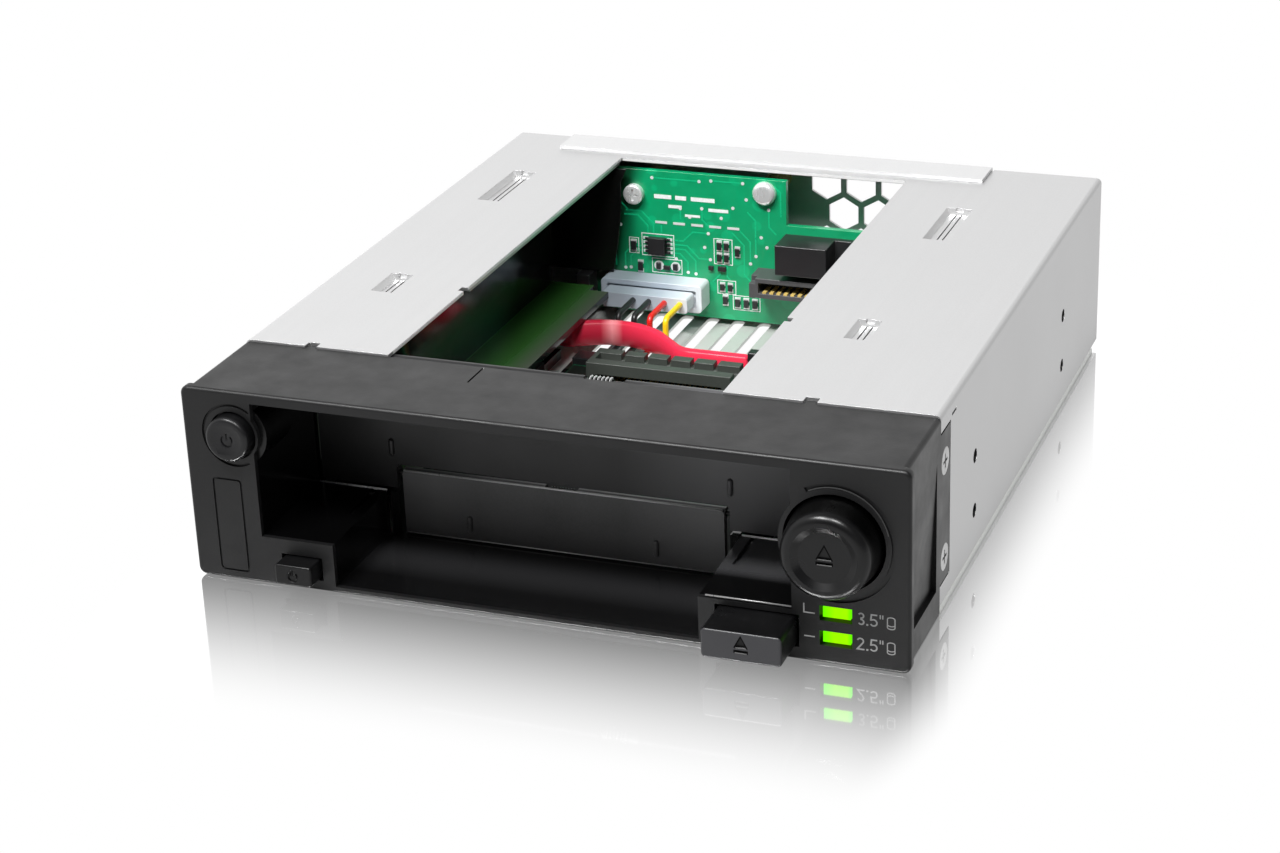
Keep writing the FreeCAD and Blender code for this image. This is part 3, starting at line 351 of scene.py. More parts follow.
M = {
    # bezel: shade is painted inside the aperture, on its floor, on its left wing and on the recessed panel at the right
    # end; light is painted on the lower aperture towards its rear, on the floor behind the small door and on the right
    # ledge
    "black_plastic": plastic("bezel_plastic", (0.0040, 0.0040, 0.0042), 0.42, 2600.0, 0.30, spec=0.31, smooth_box=((-59.6, 0.9, 0.9), (51.9, 36.0, 39.6), 0.17),
                             painted_light_boxes=(((-59.6, 0.9, 2.2), (51.9, 36.0, 39.6), 0.25, 0.4), ((-59.6, 0.9, 0.9), (51.9, 36.0, 2.2), 0.6, 0.4),
                                    ((-70.0, 8.0, -12.0), (60.0, 50.0, 14.2), 4.5, 12.0), ((-36.0, 15.0, 0.9), (29.0, 36.0, 2.2), 9.5, 5.0), ((25.0, 9.0, 1.0), (60.0, 46.0, 20.0), 19.0, 8.0),
                                    ((-59.6, 0.9, 2.2), (-43.2, 36.0, 39.6), 0.25, 0.4), ((71.4, 2.2, 0.0), (75.0, 26.0, 38.5), 0.1, 0.4))),
    # painted light: the large door is painted paler towards its right end
    "door_plastic": plastic("door_plastic", (0.0085, 0.0085, 0.0089), 0.36, 3000.0, 0.10, spec=0.40, painted_light_boxes=(((8.0, 20.0, -20.0), (90.0, 40.0, 60.0), 30.0, 20.0),)),
    # painted light: the small door's base is paler than the bezel's to make up for the shade it sits in, and its ends
    # are painted paler again, most at the right
    "flap_plastic": plastic("flap_plastic", (0.0520, 0.0520, 0.0530), 0.36, 3000.0, 0.10, painted_light_boxes=(((-70.0, 20.0, -20.0), (-24.0, 40.0, 60.0), 1.9, 9.0), ((8.0, 20.0, -20.0), (90.0, 40.0, 60.0), 5.2, 18.0))),
    # painted shade blacks out the knob's outer wall behind its face; painted light makes the fronts of the wide button
    # and the round power button paler
    "button_plastic": plastic("button_plastic", (0.0022, 0.0022, 0.0024), 0.31, 2800.0, 0.12, spec=0.29, painted_light_boxes=(((48.0, -5.2, 14.0), (71.0, 17.0, 36.0), 0.0, 0.6),
                              ((35.0, -11.0, 1.5), (53.3, -9.1, 9.6), 12.5, 0.3), ((-71.0, -4.0, 25.0), (-56.0, -1.5, 39.0), 2.6, 0.3))),
    # the engraved eject signs: a black stroke paints the shade on the engraving's walls, a pale stroke paints the
    # highlight on their lower edges
    "sign_painted_shade": plastic("sign_painted_shade", (0.0010, 0.0010, 0.0010), 0.80, 2600.0, 0.10, spec=0.05),
    "sign_painted_highlight": ink("sign_painted_highlight", (0.085, 0.085, 0.085)),
    # painted reflection: the top of the left shelf is painted with the green board's reflection, turning into a painted
    # grey sheen at its inner edge
    "rail_plastic": plastic("rail_plastic", (0.0050, 0.0052, 0.0052), 0.15, 2200.0, 0.05, spec=0.4, coat=0.12,
                            painted_shading_box=((-59.3, 36.0, 11.0), (-41.0, 149.0, 11.3), (0.0330, 0.1260, 0.0240), (0.118, 0.126, 0.108))),
    "tray_black": plastic("tray_black", (0.0030, 0.0030, 0.0032), 0.62, 2600.0, 0.15, spec=0.12),
    "connector_plastic": plastic("connector_plastic", (0.014, 0.014, 0.015), 0.36, 2600.0, 0.12),
    "connector_mid": plastic("connector_mid", (0.042, 0.047, 0.041), 0.40, 2600.0, 0.15),
    # painted highlights: pale glossy steel for the beads that stand in for the bright lines along the ledges and the
    # small door
    "bead": steel("gap_highlight_gloss", (0.95, 0.95, 0.95), 0.32, 0.42),
    "ledge_highlight_gloss": steel("ledge_highlight_gloss", (0.30, 0.30, 0.30), 0.34, 0.60),
    "door_edge_highlight": steel("door_edge_highlight", (0.62, 0.62, 0.62), 0.36, 0.40),
    # painted highlight along the arc groove round the knob
    "arc_painted_highlight": ink("arc_painted_highlight", (0.034, 0.034, 0.034), 0.45),
    "connector_grey": plastic("connector_grey", (0.055, 0.056, 0.058), 0.42, 2600.0, 0.15),
    "white_plastic": plastic("white_nylon", (0.78, 0.79, 0.80), 0.38, 2400.0, 0.10, var=0.04),
    # painted shade: the power header is painted darker and bluer towards its left end
    "cool_nylon": plastic("cool_nylon", (0.74, 0.79, 0.83), 0.38, 2400.0, 0.10, var=0.04, painted_shading_box=((-46.0, 144.0, 4.0), (-18.5, 158.0, 14.0), (0.40, 0.46, 0.52), (0.80, 0.83, 0.84))),
    # painted shade: near-black sheets laid where the floor and the small board lie in shade
    "painted_shading": plastic("painted_shade_sheets", (0.010, 0.012, 0.010), 0.30, 1800.0, 0.06),
    "board_green": board("board_green"),
    # painted shade: the sideways faces of the cover are painted darker, and the walls of each mount hole near black
    "plated_sheet": sheet_metal("plated_sheet", (0.625, 0.625, 0.627), 0.42, 0.92, painted_side_shade=0.80,
                                painted_hole_shade=[(x, x + 2.9, y, z) for x in (-72.95, 70.05) for y in (52.30, 131.54) for z in (9.91, 21.84)]),
    # painted shade: the chassis walls above 4 mm are painted near black
    "floor_sheet": sheet_metal("floor_sheet", (0.60, 0.62, 0.59), 0.42, 0.40, painted_wall_shade=0.10),
    "rear_sheet": sheet_metal("rear_sheet", (0.665, 0.665, 0.667), 0.40, 0.78, bump=0.06),
    # painted highlight: the real cut edges of the cover are painted paler than its plated faces
    "cut_edge_painted_highlight": sheet_metal("cut_edge_painted_highlight", (0.86, 0.86, 0.86), 0.40, 0.25),
    # painted light: paler, less metallic finish for the shaded left walls of the pressed pockets
    "pocket_wall_painted_light": sheet_metal("pocket_wall_painted_light", (0.46, 0.46, 0.46), 0.45, 0.15),
    "bright_steel": steel("bright_steel", (0.70, 0.70, 0.70), 0.26),
    "screw_steel": steel("screw_steel", (0.46, 0.46, 0.46), 0.34),
    "pale_steel": steel("pale_steel", (0.88, 0.89, 0.89), 0.24, 0.55),
    "dark_steel": steel("dark_steel", (0.045, 0.045, 0.045), 0.36),
    "brass": steel("brass", (0.72, 0.55, 0.24), 0.28),
    "gold_contact": steel("gold_contact", (0.90, 0.66, 0.20), 0.26, 0.40),
    "lamp_green": lamp("lamp_green", (0.375, 0.98, 0.0004), (0.150, 1.0, 0.0002), 1.0),
    # painted highlight: a pale pink patch over the loop's bend
    "cable_red": sleeve("cable_red", (0.67, 0.027, 0.064), 0.33, 0.10, 0.06, 0.02, crown=(6.2, 95.0), painted_highlight=((-37.6, 110.0, 1.0), (-32.2, 150.0, 12.0), (1.0, 0.33, 0.36), 2.6), spec=0.28),
    "wire_black": sleeve("wire_black", (0.014, 0.014, 0.015), 0.34),
    "wire_red": sleeve("wire_red", (0.62, 0.015, 0.012), 0.30),
    "wire_yellow": sleeve("wire_yellow", (0.86, 0.56, 0.012), 0.30),
    "print_grey": ink("print_grey", (0.23, 0.23, 0.23)),
    "silk_white": ink("silk_white", (0.80, 0.84, 0.82)),
    "tin": steel("tin", (0.84, 0.86, 0.85), 0.38, 0.35),
    "trace": ink("trace_green", (0.006, 0.46, 0.20), 0.34),
}

# ------------------------------------------------------------------ CAD nodes: finish and softened edges
slot_of = {s["node"]: s["material_slot"] for s in frame["record"]["subparts"]}
BEVEL = {   # edge softening, in mm
    "front_bezel": 0.26, "large_drive_door": 0.20, "small_drive_door": 0.22, "wide_eject_button": 0.38,
    "round_power_button": 0.12, "small_power_button": 0.30, "top_cover": 0.12, "bottom_chassis": 0.14, "rear_panel": 0.16,
    "left_drive_rail": 0.25, "right_drive_rail": 0.25, "small_drive_tray": 0.15, "backplane_board": 0.10,
    "large_drive_connector": 0.15, "connector_guide_block": 0.25, "power_header": 0.25, "power_plug": 0.2, "data_header": 0.2,
    "data_plug_rear": 0.35, "data_plug_front": 0.35, "small_drive_connector": 0.15, "small_power_plug": 0.25,
    "small_connector_board": 0.08, "data_cable": 0.80, "rear_data_ports": 0.12, "rear_power_port": 0.15,
    "large_drive_lamp_window": 0.12, "small_drive_lamp_window": 0.12, "large_eject_lever": 0.2, "small_eject_lever": 0.2,
    "board_chips": 0.06, "status_lamps": 0.1, "round_button_switch": 0.1, "small_button_switch": 0.1,
}
OWN = {"small_drive_door": "flap_plastic", "rear_panel": "rear_sheet", "small_drive_connector": "connector_mid", "power_header": "cool_nylon", "small_drive_tray": "tray_black", "bottom_chassis": "floor_sheet",
       "power_plug": "cool_nylon", "bezel_screws": "screw_steel", "board_screws": "pale_steel"}
for name, o in NODES.items():
    o.data.materials.clear()
    o.data.materials.append(M[OWN.get(name, slot_of[name])])
    me = o.data
    if "custom_normal" in me.attributes:
        me.attributes.remove(me.attributes["custom_normal"])
    for p in me.polygons:
        p.use_smooth = True
    w = o.modifiers.new("weld", "WELD")
    w.merge_threshold = 2e-7
    if name in BEVEL:
        d = o.modifiers.new("planes", "DECIMATE")
        d.decimate_type = "DISSOLVE"
        d.angle_limit = math.radians(0.4)
        b = o.modifiers.new("soften", "BEVEL")
        b.width = BEVEL[name] * MM
        b.segments = 2
        b.limit_method = "ANGLE"
        b.angle_limit = math.radians(38)
        b.use_clamp_overlap = True
        b.miter_outer = "MITER_ARC"
        b.harden_normals = False
        n = o.modifiers.new("normals", "WEIGHTED_NORMAL")
        n.mode = "FACE_AREA"
        n.weight = 60
    else:
        es = o.modifiers.new("edges", "EDGE_SPLIT")
        es.split_angle = math.radians(32)


# ------------------------------------------------------------------ small printed and mounted details
def piece(name, bm, mat, body="housing", smooth=False):
    me = bpy.data.meshes.new(name)
    bm.normal_update()
    bm.to_mesh(me)
    bm.free()
    o = bpy.data.objects.new(name, me)
    scene.collection.objects.link(o)
    me.materials.append(mat)
    for p in me.polygons:
        p.use_smooth = smooth
    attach(o, body)
    return o


def add_box(bm, x0, x1, y0, y1, z0, z1):
    vs = [bm.verts.new(P(x, y, z)) for z in (z0, z1) for y in (y0, y1) for x in (x0, x1)]
    for f in ((0, 2, 3, 1), (4, 5, 7, 6), (0, 1, 5, 4), (2, 6, 7, 3), (0, 4, 6, 2), (1, 3, 7, 5)):
        bm.faces.new([vs[i] for i in f])


def add_prism(bm, pts, y0, y1):
    """closed outline in X, Z pushed along Y; the outline runs so that the front face looks to -Y"""
    area = sum(a[0] * b[1] - b[0] * a[1] for a, b in zip(pts, pts[1:] + pts[:1]))
    if area < 0:
        pts = pts[::-1]
    a = [bm.verts.new(P(x, y0, z)) for x, z in pts]
    b = [bm.verts.new(P(x, y1, z)) for x, z in pts]
    bm.faces.new(a)
    bm.faces.new(b[::-1])
    n = len(pts)
    for i in range(n):
        j = (i + 1) % n
        bm.faces.new((a[j], a[i], b[i], b[j]))


def add_stroke(bm, pts, w, y0, y1, closed=False):
    """flat line of width w along points in X, Z, with mitred corners"""
    n = len(pts)
    left, rightv = [], []
    for i in range(n):
        if closed:
            p0, p1 = pts[i - 1], pts[(i + 1) % n]
        else:
            p0, p1 = pts[max(i - 1, 0)], pts[min(i + 1, n - 1)]
        d0 = Vector((pts[i][0] - p0[0], pts[i][1] - p0[1]))
        d1 = Vector((p1[0] - pts[i][0], p1[1] - pts[i][1]))
        if d0.length < 1e-9:
            d0 = d1.copy()
        if d1.length < 1e-9:
            d1 = d0.copy()
        d0.normalize()
        d1.normalize()
        t = d0 + d1
        if t.length < 1e-6:
            t = d1.copy()
        t.normalize()
        nn = Vector((-t.y, t.x))
        k = (w / 2) / max(0.4, nn.dot(Vector((-d1.y, d1.x))))
        left.append((pts[i][0] + nn.x * k, pts[i][1] + nn.y * k))
        rightv.append((pts[i][0] - nn.x * k, pts[i][1] - nn.y * k))
    rings = []
    for l, r in zip(left, rightv):
        rings.append([bm.verts.new(P(l[0], y0, l[1])), bm.verts.new(P(r[0], y0, r[1])), bm.verts.new(P(r[0], y1, r[1])), bm.verts.new(P(l[0], y1, l[1]))])
    last = n if closed else n - 1
    for i in range(last):
        a, b = rings[i], rings[(i + 1) % n]
        for k in range(4):
            q = (k + 1) % 4
            bm.faces.new((a[k], a[q], b[q], b[k]))
    if not closed:
        bm.faces.new(rings[0][::-1])
        bm.faces.new(rings[-1])


def arc(cx, cz, r, a0, a1, n=16):
    return [(cx + r * math.cos(math.radians(a0 + (a1 - a0) * i / n)), cz + r * math.sin(math.radians(a0 + (a1 - a0) * i / n))) for i in range(n + 1)]


def add_disc(bm, cx, cz, r, y0, y1, n=20):
    add_prism(bm, arc(cx, cz, r, 0, 360 - 360 / n, n - 1), y0, y1)


# numbers and marks beside the two lamps
def digit(bm, ch, x, z, h, w, s, y0, y1):
    r = w / 2
    if ch == "3":
        rr = h / 4
        pts = arc(x + w - rr, z + h - rr, rr - s / 2, 150, -90, 14) + arc(x + w - rr, z + rr, rr - s / 2 + 0.02, 90, -150, 14)
        pts = [(px if px > x else x, pz) for px, pz in pts]
        add_stroke(bm, pts, s, y0, y1)
    elif ch == "5":
        rr = h * 0.31
        pts = [(x + w * 0.93, z + h - s / 2), (x + w * 0.22, z + h - s / 2), (x + w * 0.14, z + h * 0.52)]
        pts += arc(x + w - rr - 0.02, z + rr, rr - s / 2, 120, -150, 18)
        add_stroke(bm, pts, s, y0, y1)
    elif ch == "2":
        rr = h * 0.28
        pts = arc(x + w / 2, z + h - rr, rr - s / 2, 165, -38, 16) + [(x + s * 0.6, z + s / 2), (x + w, z + s / 2)]
        add_stroke(bm, pts, s, y0, y1)
    elif ch == ".":
        add_box(bm, x, x + s * 1.25, y0, y1, z, z + s * 1.25)
    elif ch == "q":
        add_box(bm, x, x + s, y0, y1, z + h * 0.68, z + h)
        add_box(bm, x + s * 2.0, x + s * 3.0, y0, y1, z + h * 0.68, z + h)


bm = bmesh.new()
F0, F1 = -0.02, 0.05
for first, zb in (("3", 9.15), ("2", 3.95)):
    h, w, s = 2.55, 1.55, 0.30
    digit(bm, first, 63.9, zb, h, w, s, F0, F1)
    digit(bm, ".", 65.80, zb, h, w, s, F0, F1)
    digit(bm, "5", 66.45, zb, h, w, s, F0, F1)
    digit(bm, "q", 68.35, zb, h, w, s * 0.8, F0, F1)
    # drive sign: an upright drum outline with a dark base band
    cx, bz, hw, hh = 70.55, zb - 0.05, 0.72, 2.35
    top = arc(cx, bz + hh - 0.35, hw, 180, 0, 10)
    top = [(px, bz + hh - 0.35 + (pz - (bz + hh - 0.35)) * 0.5) for px, pz in top]
    low = [(px, bz + 0.3 - (pz - (bz + hh - 0.35)) ) for px, pz in reversed(top)]
    add_stroke(bm, top + low, 0.20, F0, F1, closed=True)
    add_stroke(bm, [(cx - hw, bz + 0.75), (cx - hw * 0.5, bz + 0.58), (cx, bz + 0.53), (cx + hw * 0.5, bz + 0.58), (cx + hw, bz + 0.75)], 0.20, F0, F1)
add_stroke(bm, [(53.8, 12.1), (53.8, 10.25), (55.9, 10.25)], 0.26, F0, F1)
add_stroke(bm, [(53.8, 5.35), (55.85, 5.35)], 0.26, F0, F1)
piece("front_print", bm, M["print_grey"])

# ------------------------------------------------------------------ backplane: pads, vias, traces, silk
BY = 156.4
rnd = random.Random(11)
T0 = BY - 0.05
bm = bmesh.new()
routes = [
    [(-40, 28.5), (-36, 28.5), (-33, 25.5), (-33, 23.2)], [(-40.5, 27.4), (-37, 27.4), (-34.5, 24.9), (-34.5, 22.9)],
    [(-31, 25.2), (-31, 23.4)], [(-28.6, 21.7), (-25.5, 21.7), (-23, 24.2), (-19, 24.2)], [(-28.6, 20.6), (-24.5, 20.6), (-21.5, 17.6), (-18.6, 17.6)],
    [(-28.6, 19.5), (-25, 19.5), (-22.4, 16.9), (-22.4, 13.6)], [(-28.6, 18.4), (-26.4, 18.4), (-24.4, 16.4), (-24.4, 13.8)],
    [(-35.4, 19.5), (-38.5, 19.5), (-40.6, 17.4), (-40.6, 13.6)], [(-35.4, 18.4), (-37.4, 18.4), (-39.2, 16.6), (-39.2, 13.8)],
    [(-13, 25.0), (-10, 22.0), (-10, 14.5), (-8, 12.5)], [(-11, 25.6), (-8.4, 23.0), (-8.4, 17.5)], [(-9, 30.5), (-7, 28.5), (-7, 19.5)],
    [(-20.5, 30.4), (-20.5, 27.6), (-18.5, 25.6)], [(-26, 30.0), (-26, 27.2)], [(-3.6, 31.5), (-3.6, 27.2), (-1.8, 25.4)],
    [(-16.2, 17.2), (-16.2, 14.0), (-18.2, 12.0)], [(-14.4, 17.2), (-14.4, 13.6), (-12.4, 11.6)], [(-45, 34.5), (-45, 24.0), (-43, 22.0), (-43, 14.0)],
    [(-47.4, 33.0), (-47.4, 21.0)], [(-43, 36.6), (-41.2, 34.8), (-41.2, 30.4), (-39.2, 28.4)], [(-2.2, 37.6), (-0.6, 36.0), (-0.6, 30.0)],
    [(-18, 37.6), (-10, 37.6)], [(-33, 37.2), (-21, 37.2)],
]
for pts in routes:
    add_stroke(bm, pts, 0.34, T0, BY + 0.02)
piece("board_traces", bm, M["trace"])

bm = bmesh.new()
vias = [(-19, 24.2), (-18.6, 17.6), (-22.4, 13.6), (-24.4, 13.8), (-40.6, 13.6), (-39.2, 13.8), (-8, 12.5), (-8.4, 17.5), (-7, 19.5), (-20.5, 30.4),
        (-26, 30.0), (-3.6, 31.5), (-45, 34.5), (-47.4, 33.0), (-18, 37.6), (-10, 37.6), (-33, 37.2), (-21, 37.2), (-5.6, 24.4), (-4.2, 22.0),
        (-41.5, 24.6), (-42.4, 30.8), (-23.6, 28.0), (-15.6, 28.4), (-12.6, 31.2), (-9.2, 33.6), (-27.4, 17.0), (-20.0, 20.6)]
for x, z in vias:
    add_disc(bm, x, z, 0.42, BY - 0.07, BY + 0.02, 14)
# row of bright pads and the pairs under the small parts
for i in range(5):
    x = -31.0 + 4.6 * i
    add_box(bm, x - 1.5, x + 1.5, BY - 0.08, BY + 0.02, 25.75, 26.35)
for x, z in ((-31.9, 14.9), (-27.6, 14.9)):
    add_disc(bm, x, z, 1.25, BY - 0.08, BY + 0.02, 22)
for x, z, w, h in ((-38.2, 19.6, 1.3, 2.2), (-36.6, 14.4, 1.2, 2.2), (-16.2, 21.4, 1.1, 1.8), (-14.4, 21.4, 1.1, 1.8), (-16.2, 18.4, 1.1, 1.8), (-14.4, 18.4, 1.1, 1.8),
                   (-11.6, 20.2, 1.1, 1.9), (-13.6, 10.9, 1.1, 1.6), (-15.6, 10.9, 1.1, 1.6), (-14.9, 7.6, 1.2, 1.9), (-11.8, 7.2, 1.2, 1.9), (-9.6, 7.2, 1.2, 1.9), (-7.4, 7.2, 1.2, 1.9)):
    for sgn in (-1, 1):
        zc = z + sgn * h / 2
        add_box(bm, x - w / 2 - 0.12, x + w / 2 + 0.12, BY - 0.30, BY + 0.02, zc - 0.45, zc + 0.45)
for sx in (-1, 1):
    for i in range(4):
        z = 18.45 + 1.1 * i
        xc = -32.0 + sx * 3.1
        add_box(bm, xc - 0.65, xc + 0.65, BY - 0.10, BY + 0.02, z - 0.34, z + 0.34)
piece("board_pads", bm, M["tin"])

# plain silk bars and part outlines
bm = bmesh.new()
S0, S1 = BY - 0.06, BY + 0.02
for x0, x1, z0, z1 in ((-32.6, -28.2, 32.1, 33.1), (-27.2, -24.4, 32.1, 33.1), (-23.2, -17.2, 32.1, 33.1), (-29.0, -25.6, 29.9, 30.7), (-24.8, -21.0, 28.0, 28.6), (-18.8, -13.8, 29.8, 30.6)):
    add_box(bm, x0, x1, S0, S1, z0, z1)
for x, z, w, h in ((-32.0, 20.1, 8.2, 5.6), (-15.3, 19.9, 4.6, 6.4), (-38.2, 19.6, 2.4, 3.9), (-14.6, 10.9, 4.6, 3.4), (-9.6, 7.2, 6.8, 3.6), (-29.8, 14.9, 7.6, 3.6)):
    add_stroke(bm, [(x - w / 2, z - h / 2), (x + w / 2, z - h / 2), (x + w / 2, z + h / 2), (x - w / 2, z + h / 2)], 0.18, S0, S1, closed=True)
piece("board_silk", bm, M["silk_white"])

# ------------------------------------------------------------------ cut edges of the cover painted pale as a highlight, sheets of painted shade, beads of painted highlight
bm = bmesh.new()
add_box(bm, -40.90, -40.86, 27.9, 62.7, 40.70, 41.28)
add_box(bm, -40.90, -40.86, 65.2, 156.7, 40.75, 41.28)
add_box(bm, -40.6, 29.6, 156.96, 157.0, 40.70, 41.28)
piece("cover_cut_edge_highlight", bm, M["cut_edge_painted_highlight"])

# painted light: paler, less metallic skins over the shaded left walls of the four pressed pockets
bm = bmesh.new()
for x0, y0, y1 in ((-62.4, 119.3, 141.3), (-60.5, 58.0, 69.0), (43.8, 119.6, 141.0), (44.0, 58.5, 69.5)):
    skin = []
    for d in (0.045, 0.012):
        skin.append([bm.verts.new(P(x, y, z)) for x, y, z in ((x0 + 0.10 + d, y0 + 0.12, 41.34), (x0 + 0.86 + d, y0 + 0.92, 40.06), (x0 + 0.86 + d, y1 - 0.46, 40.06), (x0 + 0.10 + d, y1 - 0.08, 41.34))])
    a, b = skin
    bm.faces.new(a)
    bm.faces.new(b[::-1])
    for i in range(4):
        j = (i + 1) % 4
        bm.faces.new((a[j], a[i], b[i], b[j]))
piece("pocket_wall_light_skins", bm, M["pocket_wall_painted_light"])

# painted shade: dark sheets on the floor under the cable loop and on the left of the small connector board
bm = bmesh.new()
add_box(bm, -43.0, -14.3, 119.2, 127.2, 0.805, 0.835)
add_box(bm, -39.9, -32.1, 105.7, 118.8, 2.605, 2.63)
piece("painted_shade_sheets", bm, M["painted_shading"])


def add_bead(bm, x0, x1, y, z, r, n=12):
    rings = [[bm.verts.new(P(x, y + r * math.cos(2 * math.pi * i / n), z + r * math.sin(2 * math.pi * i / n))) for i in range(n)] for x in (x0, x1)]
    for i in range(n):
        j = (i + 1) % n
        bm.faces.new((rings[0][i], rings[0][j], rings[1][j], rings[1][i]))
    bm.faces.new(rings[0][::-1])
    bm.faces.new(rings[1])


# painted highlight: bright steel beads along the rear edges of the two ledges, standing in for the lit line under the
# large door
bm = bmesh.new()
add_bead(bm, -58.9, -43.6, 25.75, 11.22, 0.26)
add_bead(bm, 33.1, 51.2, 25.75, 11.22, 0.26)
piece("gap_highlight_beads", bm, M["bead"], smooth=True)

# painted highlight: a pale flat stroke along the arc groove round the knob
bm = bmesh.new()
add_stroke(bm, arc(59.7, 25.7, 10.55, 117, 12, 40), 0.17, -0.02, 0.10)
piece("knob_arc_highlight", bm, M["arc_painted_highlight"])

# painted highlights: glossy beads along the right ledge's front edge and the small door's top and bottom edges
bm = bmesh.new()
add_bead(bm, 34.4, 51.3, 0.14, 10.94, 0.16)
piece("ledge_edge_highlight", bm, M["ledge_highlight_gloss"], smooth=True)
bm = bmesh.new()
add_bead(bm, -39.9, 28.9, 26.56, 15.70, 0.19)
add_bead(bm, -39.9, 28.9, 26.52, 1.88, 0.13)
piece("small_door_edge_highlights", bm, M["door_edge_highlight"], body="small_door", smooth=True)


def sign_edges(name, body, x, z, w, y):
    """engraved eject sign: the walls of the triangle and the bar are painted dark, a painted shade, and their lower
    edges pale, a painted highlight
    """
    bm = bmesh.new()
    add_stroke(bm, [(x - w / 2, z + 0.05), (x, z + w * 0.95), (x + w / 2, z + 0.05)], 0.24, y - 0.015, y + 0.10)
    add_stroke(bm, [(x - w / 2, z - 1.05), (x - w / 2, z - 0.45), (x + w / 2, z - 0.45), (x + w / 2, z - 1.05)], 0.20, y - 0.015, y + 0.10)
    piece(name + "_dark", bm, M["sign_painted_shade"], body=body)
    bm = bmesh.new()
    add_box(bm, x - w / 2 + 0.25, x + w / 2 - 0.25, y - 0.02, y + 0.10, z + 0.0, z + 0.15)
    add_box(bm, x - w / 2 + 0.15, x + w / 2 - 0.15, y - 0.02, y + 0.10, z - 1.06, z - 0.91)
    piece(name + "_pale", bm, M["sign_painted_highlight"], body=body)


sign_edges("knob_sign", "eject_knob_set", 59.7, 24.5, 3.1, -6.1)
sign_edges("button_sign", "eject_button_set", 44.5, 5.9, 2.6, -9.5)

# ------------------------------------------------------------------ the two return springs, coiled in place of their CAD nodes; the real springs shorten as their buttons go in
def return_spring(name, node, x, y, z, r, wire, length, turns):
    per, sides = 30, 10
    rise = length / (2 * math.pi * turns)
    bm = bmesh.new()
    rings = []
    for i in range(int(round(turns * per)) + 1):
        t = 2 * math.pi * i / per
        out = Vector((math.cos(t), 0.0, -math.sin(t)))
        along = Vector((-r * math.sin(t), rise, -r * math.cos(t))).normalized()
        up = along.cross(out)
        mid = Vector((x, y + rise * t, z)) + out * r
        ring = []
        for k in range(sides):
            a = 2 * math.pi * k / sides
            v = mid + out * (wire * math.cos(a)) + up * (wire * math.sin(a))
            ring.append(bm.verts.new(P(v.x, v.y, v.z)))
        rings.append(ring)
    for a, b in zip(rings, rings[1:]):
        for k in range(sides):
            q = (k + 1) % sides
            bm.faces.new((a[k], a[q], b[q], b[k]))
    bm.faces.new(rings[0])
    bm.faces.new(rings[-1][::-1])
    bmesh.ops.recalc_face_normals(bm, faces=bm.faces[:])
    o = piece(name, bm, M[slot_of[node]], smooth=True)
    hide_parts(node)
    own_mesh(o)


return_spring("knob_return_spring", "eject_knob_spring", 59.7, -3.5, 25.0, 4.6, 0.4, 27.0, 9)
return_spring("button_return_spring", "eject_button_spring", 44.5, 4.8, 5.6, 2.7, 0.3, 14.8, 8)

# ------------------------------------------------------------------ floor
bm = bmesh.new()
vs = [bm.verts.new((x, y, -0.0002)) for x, y in ((-6, -6), (6, -6), (6, 6), (-6, 6))]
bm.faces.new(vs)
me = bpy.data.meshes.new("floor")
bm.to_mesh(me)
bm.free()
floor = bpy.data.objects.new("floor", me)
scene.collection.objects.link(floor)
fm = bpy.data.materials.new("floor")
fm.use_nodes = True
t = fm.node_tree
t.nodes.clear()
out = t.nodes.new("ShaderNodeOutputMaterial")
geo = t.nodes.new("ShaderNodeNewGeometry")
sep = t.nodes.new("ShaderNodeSeparateXYZ")
t.links.new(geo.outputs["Position"], sep.inputs[0])


def fmath(op, a, b=0.0, c=None):
    n = t.nodes.new("ShaderNodeMath")
    n.operation = op
    for v, s in zip((a, b, c), n.inputs):
        if v is None:
            continue
        if hasattr(v, "links"):
            t.links.new(v, s)
        else:
            s.default_value = v
    return n.outputs[0]


dx = fmath("MULTIPLY", fmath("MAXIMUM", fmath("SUBTRACT", fmath("ABSOLUTE", sep.outputs[0]), 0.0740), 0.0), 3.6)
dy = fmath("MAXIMUM", fmath("SUBTRACT", fmath("ABSOLUTE", fmath("SUBTRACT", sep.outputs[1], 0.004)), 0.085), 0.0)
dist = fmath("SQRT", fmath("ADD", fmath("MULTIPLY", dx, dx), fmath("MULTIPLY", dy, dy)))
mr = t.nodes.new("ShaderNodeMapRange")
mr.interpolation_type = "SMOOTHSTEP"
mr.inputs["From Min"].default_value = -0.012
mr.inputs["From Max"].default_value = 0.049
mr.inputs["To Min"].default_value = 0.86
mr.inputs["To Max"].default_value = 0.0
t.links.new(dist, mr.inputs["Value"])
em = t.nodes.new("ShaderNodeEmission")
em.inputs["Strength"].default_value = 1.0
gl = t.nodes.new("ShaderNodeBsdfGlossy")
gl.inputs["Roughness"].default_value = 0.05
gl.inputs["Color"].default_value = (1, 1, 1, 1)
mx = t.nodes.new("ShaderNodeMixShader")
under = fmath("MULTIPLY", fmath("LESS_THAN", fmath("ABSOLUTE", sep.outputs[0]), 0.0660),
              fmath("LESS_THAN", fmath("ABSOLUTE", fmath("SUBTRACT", sep.outputs[1], 0.012)), 0.070))
t.links.new(fmath("MULTIPLY", mr.outputs["Result"], fmath("SUBTRACT", 1.0, under)), mx.inputs[0])
t.links.new(em.outputs[0], mx.inputs[1])
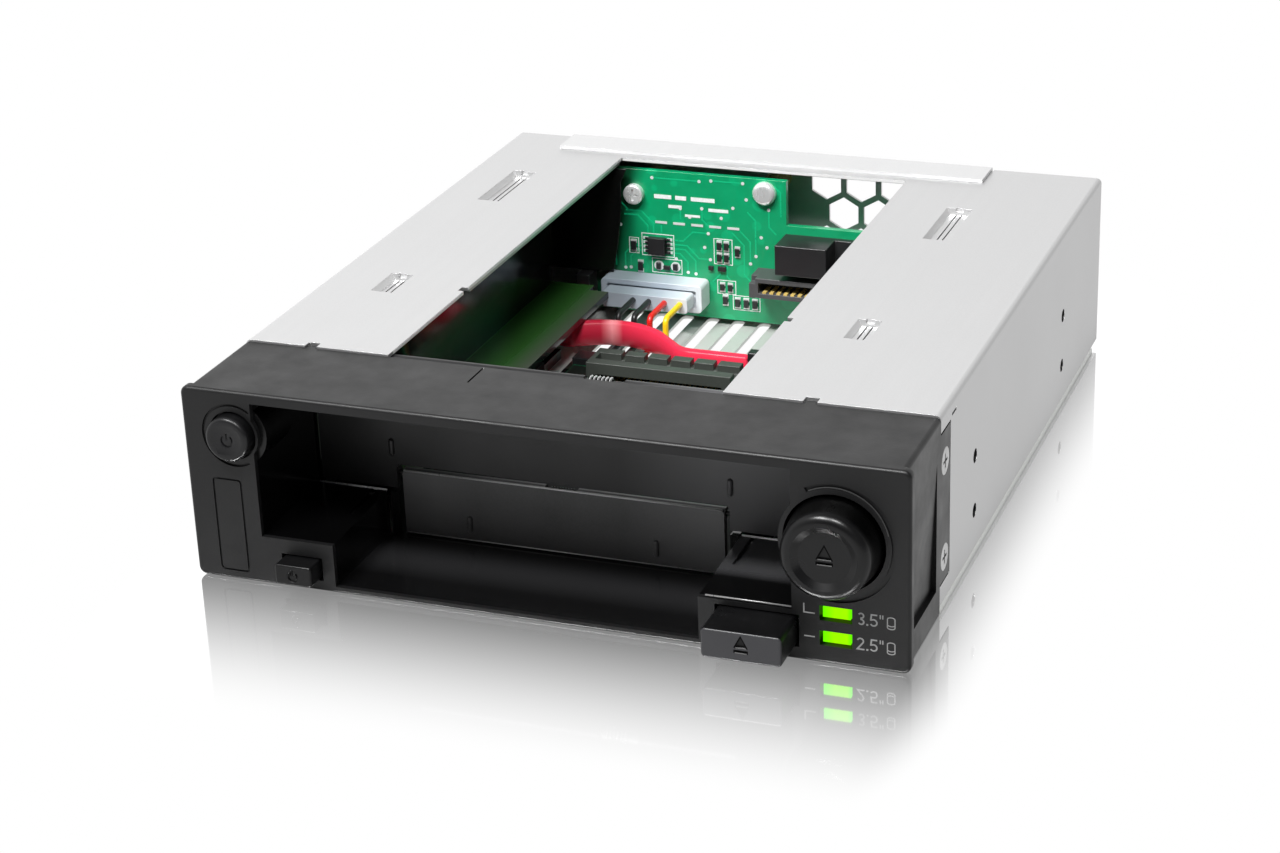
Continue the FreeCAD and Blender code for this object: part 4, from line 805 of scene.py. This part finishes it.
t.links.new(gl.outputs[0], mx.inputs[2])
t.links.new(mx.outputs[0], out.inputs[0])
me.materials.append(fm)

# ------------------------------------------------------------------ studio light
world = bpy.data.worlds.new("studio")
scene.world = world
world.use_nodes = True
w = world.node_tree
w.nodes.clear()
wo = w.nodes.new("ShaderNodeOutputWorld")
bg = w.nodes.new("ShaderNodeBackground")
tc = w.nodes.new("ShaderNodeTexCoord")
sp = w.nodes.new("ShaderNodeSeparateXYZ")
w.links.new(tc.outputs["Generated"], sp.inputs[0])


def wmath(op, a, b=0.0):
    n = w.nodes.new("ShaderNodeMath")
    n.operation = op
    for v, s in zip((a, b), n.inputs):
        if hasattr(v, "links"):
            w.links.new(v, s)
        else:
            s.default_value = v
    return n.outputs[0]


lv = wmath("ADD", wmath("MULTIPLY", sp.outputs[1], 0.56), wmath("MULTIPLY", sp.outputs[0], -0.60))
lv = wmath("ADD", lv, 0.55)
lv = wmath("MAXIMUM", wmath("MINIMUM", lv, 1.45), 0.12)
ceil = w.nodes.new("ShaderNodeMapRange")
ceil.interpolation_type = "SMOOTHSTEP"
for k, v in (("From Min", 0.50), ("From Max", 0.90), ("To Min", 1.0), ("To Max", 0.35)):
    ceil.inputs[k].default_value = v
w.links.new(sp.outputs[2], ceil.inputs["Value"])
lv = wmath("MULTIPLY", lv, ceil.outputs["Result"])
w.links.new(lv, bg.inputs["Strength"])
bg.inputs["Color"].default_value = (1, 1, 1, 1)
w.links.new(bg.outputs[0], wo.inputs[0])


def area(name, loc, target, sx, sy, power):
    d = bpy.data.lights.new(name, "AREA")
    d.shape = "RECTANGLE"
    d.size, d.size_y, d.energy = sx, sy, power
    o = bpy.data.objects.new(name, d)
    scene.collection.objects.link(o)
    o.location = loc
    o.rotation_euler = (Vector(target) - Vector(loc)).to_track_quat("-Z", "Y").to_euler()
    return o


area("overhead", (-0.28, -0.50, 0.92), (0, 0, 0.02), 0.36, 0.16, 15.0)
area("key", (0.16, -0.40, 0.70), (0, 0.02, 0.02), 0.22, 0.14, 5.0)
